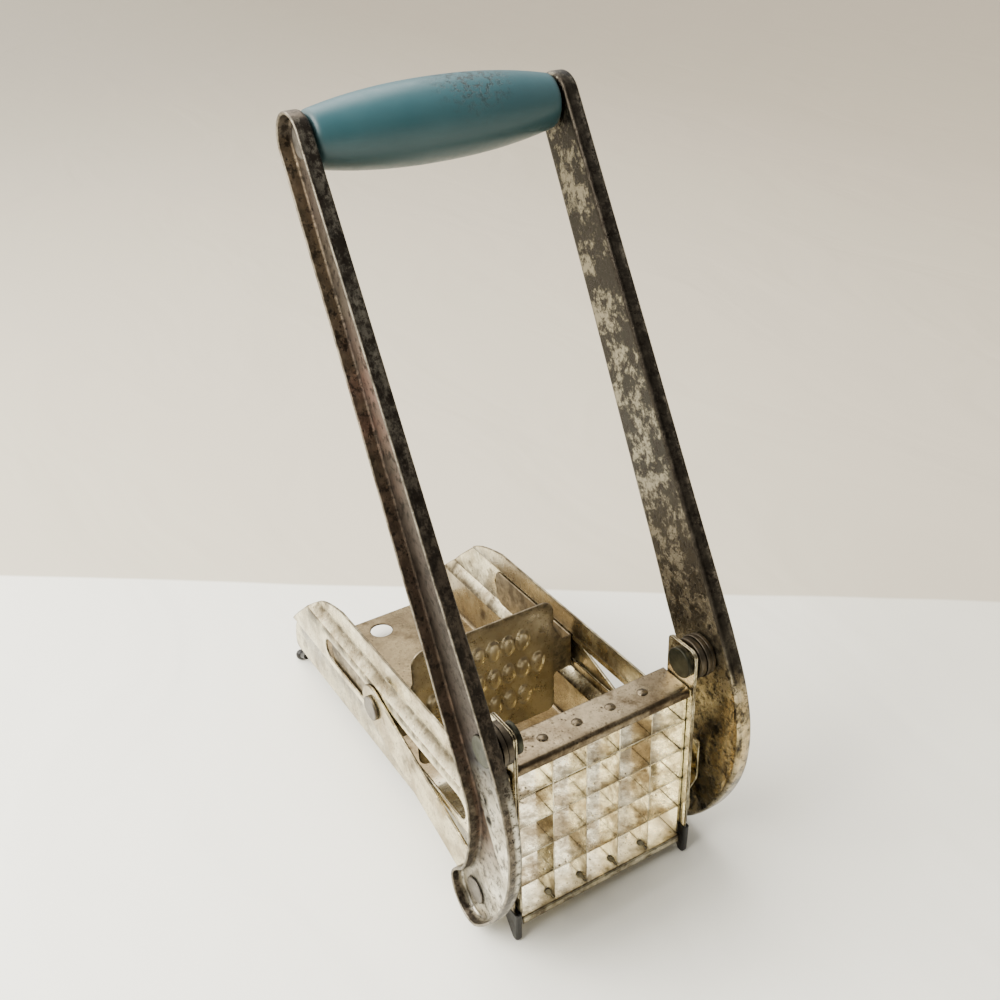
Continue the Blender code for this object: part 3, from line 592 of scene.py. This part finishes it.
def enamel(name):
    """Worn black on the feet, with bare metal showing in small spots."""
    s = Surface(name, metallic=0.35)
    worn = s.span(s.noise(1.3, 8, 0.75, shift=2.0), 0.60, 0.70)
    colour = s.mix(worn, BLACK, BARE_FOOT)
    rough = s.span(s.noise(2, 5, 0.6, shift=1.0), 0.3, 0.7, 0.26, 0.45)
    return s.finish(colour, rough, (s.noise(1.5, 4, 0.6), 0.05))


def low_and_front(s):
    """Dirt that gathers along the bottom edge at the front."""
    return s.both(s.span(s.z, 0.021, 0.007), s.span(s.y, depth(20), depth(0)))


def at_joints(s):
    """Dirt just above and below the lines where the blades cross."""
    above_floor = s.math("SUBTRACT", s.z, (FLOOR_Z + SHEET / 2) * MM)
    cell = s.math("FRACT", s.math("DIVIDE", above_floor, CELL * MM), 0.0)
    return s.either(s.span(cell, 0.20, 0.04), s.span(cell, 0.86, 0.97))


def rear_floor(s):
    """The trough's floor behind the pusher, and the foot of its walls there."""
    behind = s.span(s.y, depth(60), depth(76))
    within = s.span(s.aside(), 0.0352, 0.0346)
    return s.both(s.both(behind, within), s.span(s.z, 0.050, 0.016, 0.55, 1.0))


def painted_light_front_floor(s):
    """The trough's floor between the pusher and the blades, tinted bright cream as painted light falling on
    it.
    """
    within = s.span(s.aside(), 0.0350, 0.0344)
    ahead = s.span(s.y, depth(72), depth(66))
    return s.both(s.both(within, s.span(s.z, 0.016, 0.011)), ahead)


def rims(s):
    """The walls' upper edges, which have gone dark."""
    return s.both(s.span(s.z, 0.0585, 0.0603), s.span(s.y, depth(17), depth(19)))


# The bright cream tint on the floor ahead of the pusher is painted light; the other tints and spots are
# stains.
shell_tin = tinplate("worn_tinplate", CREAM, DULL, BROWN, 0.04, 1.3, 0.18,
                     [(low_and_front, 0.9), (rims, 0.8)],
                     [(rear_floor, (0.260, 0.200, 0.112), (0.155, 0.115, 0.064)),
                      (painted_light_front_floor, (0.98, 0.91, 0.68), (0.80, 0.70, 0.46))])
blade_tin = tinplate("blade_tinplate", (0.98, 0.90, 0.64), (0.33, 0.270, 0.165), BROWN, 0.02, 1.0, 0.06,
                     [(low_and_front, 0.9), (at_joints, 0.75)])


def cover_lip(s):
    """The cover's front lip and bend, which are dark."""
    return s.span(s.y, depth(0.9), depth(0.3))


def pusher_edges(s):
    """Dirt round the pusher's top and sides."""
    top = s.span(s.z, 0.0625, 0.0655)
    return s.either(top, s.span(s.aside(), 0.0275, 0.0298))


plate_tin = tinplate("cover_tinplate", (0.345, 0.280, 0.180), (0.225, 0.175, 0.108),
                     (0.040, 0.023, 0.011), 0.08, 2.0, 0.24, [(cover_lip, 1.0)])
pusher_tin = tinplate("olive_tinplate", (0.460, 0.380, 0.250), (0.310, 0.250, 0.160),
                      (0.050, 0.037, 0.023), 0.00, 0.6, 0.24, [(pusher_edges, 0.9)], edge_dirt=0.25)
link_tin = tinplate("link_tinplate", (0.72, 0.64, 0.42), (0.38, 0.31, 0.185), BROWN, 0.05, 1.2, 0.22)
arm_left = left_plating()
arm_right = right_plating()
pin_steel = steel("pin_steel", (0.24, 0.22, 0.19), (0.11, 0.095, 0.078))
stud_steel = steel("stud_steel", (0.20, 0.162, 0.105), (0.06, 0.042, 0.026), 0.18)
washer_steel = steel("washer_steel", (0.120, 0.100, 0.072), (0.040, 0.031, 0.023), 0.28)
pivot_steel = steel("pivot_head_steel", (0.058, 0.060, 0.040), (0.020, 0.021, 0.015), 0.32)
grip_paint = paint("blue_grip_paint")
foot_black = enamel("worn_black")


# ---------------------------------------------------------------- trough
def section_line():
    """The trough's section at the middle of its sheet, from the left rim to the right one."""
    channel = [(WALL_X, CHANNEL_Z - 12), (WALL_X + 3.6, CHANNEL_Z - 8), (WALL_X + 3.6, CHANNEL_Z + 8),
               (WALL_X, CHANNEL_Z + 12)]
    corners = [(0, FLOOR_Z), (WALL_X, FLOOR_Z), *channel, (WALL_X, WALL_FRONT_TOP + 2)]
    radii = [2.4, 1.6, 1.6, 1.6, 1.6]
    half = [np.array(corners[0], float)]
    for before, corner, after, radius in zip(corners, corners[1:], corners[2:], radii):
        before, corner, after = map(np.array, (before, corner, after))
        into = (corner - before) / np.linalg.norm(corner - before)
        out = (after - corner) / np.linalg.norm(after - corner)
        turn = math.acos(np.clip(into @ out, -1, 1))
        reach = radius * math.tan(turn / 2)
        start, end = corner - into * reach, corner + out * reach
        for t in np.linspace(0, 1, 9):
            half.append((1 - t) ** 2 * start + 2 * t * (1 - t) * corner + t**2 * end)
    half.append(np.array(corners[-1], float))
    half = np.array(half)
    return np.r_[half[:0:-1] * (-1, 1), half]


LINE = section_line()
STEPS = np.r_[0, np.cumsum(np.linalg.norm(np.diff(LINE, axis=0), axis=1))]
STEPS -= STEPS[-1] / 2
SIDEWAYS = np.gradient(LINE, STEPS, axis=0)
SIDEWAYS /= np.linalg.norm(SIDEWAYS, axis=1)[:, None]


def on_shell(flat, offset):
    """Folds the flat sheet into the trough. A positive offset is inwards."""
    u, y = flat[:, 0], flat[:, 1]
    x, z = np.interp(u, STEPS, LINE[:, 0]), np.interp(u, STEPS, LINE[:, 1])
    tx, tz = np.interp(u, STEPS, SIDEWAYS[:, 0]), np.interp(u, STEPS, SIDEWAYS[:, 1])
    return np.c_[x - tz * offset, y, z + tx * offset]


def width_at(z):
    """How far along the flat sheet the right wall reaches this height."""
    right = LINE[:, 0] > 30
    return np.interp(z, LINE[right, 1], STEPS[right])


def trough():
    """The bent sheet, with the slots in its walls, the drain hole, and the keyholes for the blades."""
    rear = smooth([(118, 60.5), (137, 54.6), (153, 42.5), (166, 30.5), (173.5, 20.5)],
                  (104, 61.7), (175.5, 10), 8)
    rim = [(0.2, 71.3), *arc((11.0, 69.5), 2.0, 90, 0, 4), (14.2, 64.5), (16.5, 61.4), (19.0, 60.5)]
    side = np.r_[rim, rear, [(175.0, 15.0)]]
    right = np.c_[width_at(side[:, 1]), side[:, 0]]
    notch = [(width_at(13.0), 12.1), (width_at(13.0), 0.0)]
    front = [(32.45, 0.0), (32.45, 12.1)]
    flat = np.r_[right, [(width_at(11.0), SHELL_LENGTH)]]
    loop = divided(np.r_[front, notch, flat, mirrored(flat), mirrored(notch), mirrored(front)], 2.0)
    holes = [circle(DRAIN, DRAIN_RADIUS)]
    low, high = (width_at(z) for z in SLOT_EDGES)
    for side_of in (-1, 1):
        middle, half = side_of * (low + high) / 2, (high - low) / 2
        ends = (middle, SLOT_ENDS[0] + half), (middle, SLOT_ENDS[1] - half)
        holes.append(divided(stadium(*ends, half), 2.0))
    for x in BLADE_X:
        holes.append(divided(keyhole(x), 0.6))
    us = np.unique(np.r_[STEPS, np.arange(-34, 35, 4.0)])
    us = us[np.r_[True, np.diff(us) > 0.15]]
    grid = lattice(us, np.arange(1.0, SHELL_LENGTH, 3.5))
    return pressed([loop, *holes], rounded(-SHEET / 2, SHEET / 2, 0.3), on_shell, grid, clear=0.7)


def keyhole(x):
    """A round hole in the floor with the blade's slit running forward from it."""
    half, radius = 0.35, 1.3
    opening = math.degrees(math.asin(half / radius))
    return np.r_[arc((x, 4.4), radius, -90 + opening, 270 - opening, 16), [(x - half, 1.6), (x + half, 1.6)]]


def front_lip():
    """The floor's front end, folded down."""
    loop = divided([(-32.1, 5.4), (32.1, 5.4), (32.1, 8.0), (-32.1, 8.0)], 3.0)
    return pressed([loop], rounded(0.0, 0.8), in_xz, lattice(np.arange(-30, 31, 4.0), [6.7]))


piece("trough", joined(trough(), front_lip()), shell_tin, "frame", "body_shell")


# ---------------------------------------------------------------- posts, cover and blades
def post():
    """A side plate whose tab is folded back on itself at the top."""
    rear_top = arc((10.3, 85.9), 1.5, 0, 90, 6)
    outline = np.r_[[(-1.6, 13.0), (9.9, 13.0), (11.8, 14.0)], rear_top, arc((1.4, 84.4), 3.0, 90, 180, 8)]
    hole = circle(PIVOT, PIVOT_HOLE, 32)
    grid = lattice(np.arange(0, 12, 2.0), np.arange(15, 87, 3.0))
    inner = pressed([divided(outline, 1.5), hole], rounded(*POST_INNER, 0.25), in_yz, grid)
    corners = arc((10.2, 85.8), 1.5, 0, 90, 6), arc((1.5, 84.3), 3.0, 90, 180, 8)
    outline = np.r_[[(-1.5, 20.0), (11.7, 20.0)], corners[0], corners[1]]
    outer = pressed([divided(outline, 1.5), hole], rounded(*POST_OUTER, 0.25), in_yz, grid)
    return joined(inner, outer)


both_sides("side_post", post(), shell_tin, "frame", "front_post_{side}")


def cover_line():
    """The cover's section: a lip in front, a round bend, and the flat top."""
    bend = arc((0.8, 71.8), 1.0, 180, 90, 6)
    return np.r_[[(-0.2, 69.9)], bend, [(13.2, 72.8)]]


COVER = cover_line()
COVER_STEPS = np.r_[0, np.cumsum(np.linalg.norm(np.diff(COVER, axis=0), axis=1))]
COVER_ALONG = np.gradient(COVER, COVER_STEPS, axis=0)
COVER_ALONG /= np.linalg.norm(COVER_ALONG, axis=1)[:, None]


def on_cover(flat, offset):
    """Folds the flat cover over the grid. A positive offset is outwards."""
    x, u = flat[:, 0], flat[:, 1]
    y, z = np.interp(u, COVER_STEPS, COVER[:, 0]), np.interp(u, COVER_STEPS, COVER[:, 1])
    ty, tz = np.interp(u, COVER_STEPS, COVER_ALONG[:, 0]), np.interp(u, COVER_STEPS, COVER_ALONG[:, 1])
    return np.c_[x, y - tz * offset, z + ty * offset]


def cover():
    length, half = COVER_STEPS[-1], COVER_HALF_WIDTH
    loop = divided([(-half, 0.0), (half, 0.0), (half, length), (-half, length)], 2.0)
    rows = np.unique(np.round(np.r_[COVER_STEPS, np.arange(5, length, 2.0)], 2))
    grid = lattice(np.arange(-31, 32, 2.0), rows)
    return pressed([loop], rounded(-COVER_SHEET / 2, COVER_SHEET / 2, 0.25), on_cover, grid)


piece("cover_plate", cover(), plate_tin, "frame", "top_plate")


def stud():
    """A small round dome."""
    dome = [(1.9 * math.sin(a), 0.9 * math.cos(a)) for a in np.radians(np.linspace(0, 88, 12))]
    return lathe([*dome, (1.9, -0.8), (0.0, -0.8)], (0, 0, 0), "z", 32)


for number, x in enumerate(BLADE_X, 1):
    points, faces = stud()
    stud_piece = piece(f"stud_{number}", (points + (x, 6.8, 73.0), faces), stud_steel,
                       "frame", f"blade_stud_{number}")


def bevelled(node, width, segments, material):
    """A CAD node that keeps its shape, with its edges eased and a worn finish."""
    obj = frame["nodes"][node]
    bevel = obj.modifiers.new("eased_edges", "BEVEL")
    bevel.width = width * MM
    bevel.segments = segments
    bevel.limit_method = "ANGLE"
    bevel.angle_limit = math.radians(35)
    bevel.harden_normals = True
    for polygon in obj.data.polygons:
        polygon.use_smooth = True
    obj.data.materials.clear()
    obj.data.materials.append(material)


for number in range(1, 5):
    bevelled(f"blade_vertical_{number}", 0.10, 2, blade_tin)
    bevelled(f"blade_horizontal_{number}", 0.10, 2, blade_tin)
for side in ("left", "right"):
    bevelled(f"grid_strip_{side}", 0.15, 2, blade_tin)


# ---------------------------------------------------------------- feet
def front_foot():
    """A boot on the leg's end that narrows to a round tip."""
    tip = arc((0.6, 1.53), 1.7, -64, -20, 6)
    rear = smooth([tuple(tip[-1]), (5.4, 5.6), (9.9, 12.7)], tuple(tip[-2]), (10.4, 13.8), 8)
    loop = np.r_[tip[:-1], rear, [(-1.6, 12.7)], arc((0.6, 1.53), 1.7, 188, 244, 8)]
    grid = lattice(np.arange(-1, 9, 1.2), np.arange(1, 12, 1.2))
    return pressed([divided(loop, 0.8)], rounded(POST_INNER[0], 35.45, 0.8, 6), in_yz, grid, clear=0.4)


both_sides("boot_front", front_foot(), foot_black, "frame", "foot_front_{side}")
for side in ("left", "right"):
    bevelled(f"foot_rear_{side}", 0.15, 2, foot_black)


# ---------------------------------------------------------------- lever
def on_lever(along, across):
    """A point of the lever's side view: along from its pivot to the grip, and across towards the front."""
    lean_y, lean_z = math.sin(LEAN), math.cos(LEAN)
    return (PIVOT[0] + along * lean_y - across * lean_z, PIVOT[1] + along * lean_z + across * lean_y)


def arm_outline():
    """The arm's side view, down its rear edge, round its foot, up its front edge and over its top."""
    rear_bows = (160, -8.7), (115, -9.8), (70, -11.4), (50, -12.1), (34, -12.6)
    rear = [on_lever(*place) for place in rear_bows]
    rear += [(22.7, 88.5), (14.0, 71.2), (8.5, 58.0), (8.4, 46.0), (10.8, 35.0), (14.5, 26.8)]
    toe = [(20.5, 20.8), (22.3, 16.0), (20.5, 9.5), (15.0, 4.8), (8.5, 5.2)]
    sole = [(1.5, 11.8), (-5.2, 21.0), (-11.0, 32.0), (-14.6, 43.0), (-15.8, 54.5)]
    edge = [(-14.8, 66.0), (-11.2, 78.0), (-5.5, 90.0), (1.4, 103.0)]
    edge += [on_lever(55, 11.0), on_lever(100, 10.1), on_lever(160, 8.8)]
    above = on_lever(LEVER_LENGTH, -ARM_TOP_RADIUS), on_lever(LEVER_LENGTH, ARM_TOP_RADIUS)
    sides = smooth(rear + toe + sole + edge, *above, 6)
    lean = 90 - math.degrees(LEAN)
    top = arc(on_lever(LEVER_LENGTH, 0.0), ARM_TOP_RADIUS, lean - 90, lean + 90, 24)
    return divided(np.r_[sides, top[::-1]], 2.0)


def arm():
    """A pressed channel with round bends, whose flange stands outwards all round."""
    bend, inner = 1.5, 1.0
    back = [(bend * (1 - math.sin(a)), WEB_X + bend * (1 - math.cos(a))) for a in quarter_turn(6)]
    rim = [(0.02, FLANGE_X - 0.4), (0.14, FLANGE_X - 0.12), (0.4, FLANGE_X), (0.60, FLANGE_X),
           (0.86, FLANGE_X - 0.12), (1.0, FLANGE_X - 0.4)]
    pocket = [(ARM_SHEET + inner * (1 - math.cos(a)), WEB_X + ARM_SHEET + inner * (1 - math.sin(a)))
              for a in quarter_turn(5)]
    section = [(bend + 0.5, WEB_X), *back, *rim, *pocket, (ARM_SHEET + inner + 0.5, WEB_X + ARM_SHEET)]
    sideways = np.arange(-15, 15.1, 2.5)
    grid = np.array([on_lever(a, c) for a in np.arange(-88, 188, 2.8) for c in sideways])
    holes = [circle(PIVOT, PIVOT_HOLE, 32), circle(LOW_RIVET, RIVET_HOLE, 24),
             circle(GRIP_CENTRE, AXLE_HOLE, 24)]
    return pressed_channel(arm_outline(), holes, section, grid)


def pressed_channel(outline, holes, section, grid):
    """A channel whose rim follows the section, with plain round holes through its web."""
    outline = outline if area(outline) > 0 else outline[::-1]
    holes = [hole if area(hole) < 0 else hole[::-1] for hole in holes]
    points, faces, count = [], [], 0
    n = len(outline)
    rings = []
    for depth, offset in section:
        rings.append(count)
        points.append(in_yz(inset(outline, depth), np.full(n, offset)))
        count += n
    for a, b in zip(rings, rings[1:]):
        faces += [(a + i, a + (i + 1) % n, b + (i + 1) % n, b + i) for i in range(n)]
    for hole in holes:
        m = len(hole)
        points += [in_yz(hole, np.full(m, WEB_X)), in_yz(hole, np.full(m, WEB_X + ARM_SHEET))]
        faces += [(count + i, count + (i + 1) % m, count + m + (i + 1) % m, count + m + i) for i in range(m)]
        count += 2 * m
    for depth, offset in (section[0], section[-1]):
        flat, triangles = fill([inset(outline, depth), *holes], grid, 0.5)
        faces += [tuple(count + i for i in face) for face in triangles]
        points.append(in_yz(flat, np.full(len(flat), offset)))
        count += len(flat)
    return np.concatenate(points), faces


left_arm = flipped(arm())
piece("pressed_arm_left", left_arm, arm_left, "lever", "lever_arm_left")
piece("pressed_arm_right", flipped(left_arm), arm_right, "lever", "lever_arm_right")


def barrel():
    """The turned grip, whose ends are eased."""
    half = WEB_X - 0.3
    profile = [(2.4, half), (GRIP_END - 1.5, half)]
    for t in np.linspace(1, -1, 65):
        swell = GRIP_END + (GRIP_MIDDLE - GRIP_END) * (1 - abs(t) ** 2.2)
        ease_in = max(0.0, (abs(t) - 0.975) / 0.025)
        profile.append((swell - 1.5 * (1 - math.sqrt(max(0.0, 1 - ease_in**2))), t * half))
    profile += [(GRIP_END - 1.5, -half), (2.4, -half), (2.4, half)]
    return lathe(profile, (0, *GRIP_CENTRE), "x", 72)


piece("barrel_grip", barrel(), grip_paint, "lever", "grip")


def head(radius, low, high):
    """A flat round head with a rounded edge, as a profile from its outer middle to its underside."""
    edge = min(0.35, (high - low) * 0.8)
    top = [(0.0, high), (radius * 0.5, high), (radius - edge - 0.3, high)]
    return [*top, *eased(radius, high, edge, 5), (radius, low)]


def pin(head_radius, shank, inner, outer, ends, y, z):
    """A pin along X: its heads reach inner and outer, and ends are the faces that the heads rest on."""
    profile = [*head(head_radius, ends[1], outer), (shank, ends[1])]
    if inner is None:
        profile += [(shank, ends[0]), (0.0, ends[0])]
    else:
        outward = head(head_radius, ends[0], 2 * ends[0] - inner)
        profile += [(shank, ends[0]), *[(r, ends[0] + ends[0] - a) for r, a in outward[::-1]]]
    return lathe(profile, (0, y, z), "x", 40)


OUTSIDE = WEB_X + 1.3
HEADS = OUTSIDE + RIVET_RISE
front_rivet = pin(RIVET_HEAD, RIVET_SHANK, None, HEADS, (WEB_X, OUTSIDE), *LOW_RIVET)
both_sides("flush_rivet_front", front_rivet, pin_steel, "lever", "link_rivet_front_{side}")
axle = pin(5.0, 2.0, -HEADS, HEADS, (-OUTSIDE, OUTSIDE), *GRIP_CENTRE)
piece("grip_axle", axle, pin_steel, "lever", "grip_rod")
hinge_pin = pin(5.2, 3.0, 30.75, HEADS, (32.75, OUTSIDE), *PIVOT)
both_sides("hinge_pin", hinge_pin, pivot_steel, "frame", "lever_pivot_{side}")


def washer(start, radius, thick):
    """A turned washer with an eased rim on both faces."""
    edge = eased(radius, thick, 0.3, 4)
    underside = [(r, thick - a) for r, a in edge[::-1]]
    profile = [(PIVOT_HOLE, thick), *edge, *underside, (PIVOT_HOLE, 0.0), (PIVOT_HOLE, thick)]
    points, faces = lathe(profile, (0, 0, 0), "x", 48)
    return points + (start, *PIVOT), faces


start = WASHER_START
for number, (radius, thick) in enumerate(WASHERS, 1):
    both_sides(f"washer_{number}", washer(start, radius, thick), washer_steel, "frame",
               f"pivot_washer_{{side}}_{number}")
    start += thick + WASHER_GAP


# ---------------------------------------------------------------- pusher and links
def dimples(flat):
    """Oval dimples pressed towards the blades."""
    rise = np.zeros(len(flat))
    for row, z in enumerate(DIMPLE_ROWS):
        for column in range(4 if row == 1 else 3):
            for side in (-1, 1):
                middle = side * (column + 0.5) * CELL / 2
                across, up = (flat[:, 0] - middle) / DIMPLE_HALF[0], (flat[:, 1] - z) / DIMPLE_HALF[1]
                rise -= DIMPLE_RISE * np.clip(1 - (across**2 + up**2), 0, 1) ** DIMPLE_BULGE
    return rise


def pusher():
    """The dimpled face, and an ear back from each of its sides."""
    shoulder = [(29.7, 53.4), (33.9, 46.8), (37.2, 46.8), (37.2, 32.6),
                (30.6, 32.3), (29.7, 31.0), (29.7, 18.7)]
    half = np.r_[arc((24.7, 61.4), 5.0, 90, 0, 8), shoulder, arc((26.2, 18.7), 3.5, 0, -90, 6)]
    loop = divided(np.r_[half, mirrored(half)], 1.6)
    grid = lattice(np.arange(-36, 36.1, 0.55), np.arange(16, 66, 0.55))
    face = pressed([loop], rounded(*PUSHER_FACE, 0.35), in_xz, grid, dimples, 0.4)
    rear_end = np.r_[arc((121.8, 37.0), 5.0, -90, 0, 8), arc((123.8, 44.4), 3.0, 0, 90, 6)]
    outline = divided(np.r_[[(73.4, 32.0)], rear_end, [(73.4, 47.4)]], 2.0)
    grid = lattice(np.arange(75, 126, 4.0), [36, 40, 44])
    ear = pressed([outline], rounded(*PUSHER_EAR, 0.35), in_yz, grid)
    return joined(face, ear, flipped(ear))


piece("dimpled_pusher", pusher(), pusher_tin, "pusher", "pusher_plate")


def link():
    """A flat bar with round ends and a hole for the front rivet."""
    outline = divided(stadium(LOW_RIVET, REAR_RIVET, LINK_HALF_WIDTH, 20), 2.0)
    hole = circle(LOW_RIVET, RIVET_HOLE, 24)
    grid = lattice(np.arange(5, 96, 4.0), np.arange(8, 48, 4.0))
    return pressed([outline, hole], rounded(LINK_X, LINK_X + LINK_SHEET, 0.35), in_yz, grid)


both_sides("link_bar", link(), link_tin, "link_{side}", "link_{side}")
rear_rivet = pin(RIVET_HEAD, RIVET_SHANK, 35.6, LINK_X + 2.5, (36.6, LINK_X + 1.3), *REAR_RIVET)
both_sides("rear_rivet", rear_rivet, pin_steel, "pusher", "link_rivet_rear_{side}")


# ---------------------------------------------------------------- stage, light and camera
for obj in [o for o in bpy.data.objects if o.name in ("Cube", "Light", "Camera")]:
    bpy.data.objects.remove(obj)


def floor():
    """A pale floor, a little darker beyond a straight line behind the object, with painted shade to the
    right.
    """
    mesh = bpy.data.meshes.new("pale_floor")
    reach = 6.0
    corners = [(-reach, -reach, 0), (reach, -reach, 0), (reach, reach, 0), (-reach, reach, 0)]
    mesh.from_pydata(corners, [], [(0, 1, 2, 3)])
    obj = bpy.data.objects.new("pale_floor", mesh)
    obj.location.z = -0.0001
    bpy.context.scene.collection.objects.link(obj)
    s = Surface("floor_cloth", metallic=0.0)
    line = s.math("ADD", s.both(s.x, 0.755), s.y)
    wobble = s.span(s.noise(160, 2, 0.5, shift=1.0), 0.0, 1.0, -0.004, 0.004)
    far = s.span(s.math("ADD", line, wobble), 0.1400, 0.1425)
    # Painted shade: both tones of the floor darken towards the right, away from the window light.
    painted_shade_rightward = s.span(s.x, -0.18, 0.25)
    near_tone_shaded = s.mix(painted_shade_rightward, (0.95, 0.935, 0.850), (0.74, 0.708, 0.605))
    far_tone_shaded = s.mix(s.span(s.x, -0.2, 0.9), (0.610, 0.552, 0.435), (0.470, 0.405, 0.305))
    colour = s.mix(far, near_tone_shaded, far_tone_shaded)
    folds = s.noise(95, 3, 0.5, stretch=(1.0, 0.45, 1.0), shift=3.0, warp=1.0)
    mesh.materials.append(s.finish(colour, 0.85, (folds, 3.0), (s.noise(0.7, 2, 0.5), 0.03)))


def softbox(name, location, target, size, power, colour):
    light = bpy.data.lights.new(name, "AREA")
    light.shape = "RECTANGLE"
    light.size, light.size_y = size
    light.energy = power
    light.color = colour
    obj = bpy.data.objects.new(name, light)
    obj.location = location
    obj.rotation_euler = (Vector(target) - Vector(location)).to_track_quat("-Z", "Y").to_euler()
    bpy.context.scene.collection.objects.link(obj)


def world():
    """A pale room: bright high up behind the object, dimmer and browner in front of it and below."""
    surroundings = bpy.data.worlds.new("room")
    surroundings.use_nodes = True
    tree = surroundings.node_tree

    def node(kind, inputs, **settings):
        made = tree.nodes.new(kind)
        for key, value in settings.items():
            setattr(made, key, value)
        for key, value in inputs.items():
            if isinstance(value, bpy.types.NodeSocket):
                tree.links.new(value, made.inputs[key])
            else:
                made.inputs[key].default_value = value
        return made

    direction = node("ShaderNodeTexCoord", {}).outputs["Generated"]
    parts = node("ShaderNodeSeparateXYZ", {0: direction})
    height = node("ShaderNodeMapRange", {0: parts.outputs[2], 1: -1.0, 2: 1.0}).outputs[0]
    base = node("ShaderNodeValToRGB", {0: height})
    stops = base.color_ramp.elements
    stops[0].position, stops[0].color = 0.42, (0.40, 0.34, 0.26, 1)
    stops[1].position, stops[1].color = 0.75, (0.98, 0.96, 0.92, 1)

    def towards(aim, low, high, at_low, at_high):
        """Runs from at_low to at_high as a direction turns towards this aim."""
        product = node("ShaderNodeVectorMath", {0: direction, 1: aim}, operation="DOT_PRODUCT")
        inputs = {0: product.outputs["Value"], 1: low, 2: high, 3: at_low, 4: at_high}
        return node("ShaderNodeMapRange", inputs).outputs[0]

    glow = towards((-0.42, 0.66, 0.62), 0.60, 0.92, 0.0, 3.6)
    dim = towards((-0.35, -0.85, 0.25), 0.15, 0.80, 1.0, 0.18)
    strength = node("ShaderNodeMath", {0: dim, 1: glow}, operation="ADD").outputs[0]
    background = tree.nodes["Background"]
    tree.links.new(base.outputs[0], background.inputs["Color"])
    tree.links.new(strength, background.inputs["Strength"])
    bpy.context.scene.world = surroundings


CAMERA_TURNS = (-30.723, 30.132, -2.142)
CAMERA_PLACE = (-164.346, -217.788 + FRONT, 312.248)
LENS, SENSOR = 41.661, 36.0


def camera():
    """Looks at the left front corner from above, as in the photograph."""
    azimuth, elevation, roll = (math.radians(a) for a in CAMERA_TURNS)
    back = Vector((math.sin(azimuth) * math.cos(elevation), -math.cos(azimuth) * math.cos(elevation),
                   math.sin(elevation)))
    right = (-back).cross(Vector((0, 0, 1))).normalized()
    down = (-back).cross(right)
    turned_right = right * math.cos(roll) - down * math.sin(roll)
    turned_down = right * math.sin(roll) + down * math.cos(roll)
    lens = bpy.data.cameras.new("camera")
    lens.sensor_width = SENSOR
    lens.lens = LENS
    lens.clip_start = 0.01
    obj = bpy.data.objects.new("camera", lens)
    place = Matrix((turned_right, -turned_down, back)).transposed().to_4x4()
    place.translation = Vector(CAMERA_PLACE) * MM
    obj.matrix_world = place
    bpy.context.scene.collection.objects.link(obj)
    bpy.context.scene.camera = obj


floor()
world()
softbox("window", (-0.75, 0.05, 0.75), (-0.15, -0.10, 0.0), (0.9, 0.6), 27.0, (1.0, 0.985, 0.935))
softbox("ceiling", (0.10, 0.55, 1.05), (0, 0, 0.05), (0.8, 0.8), 7.0, (1.0, 0.97, 0.92))
camera()
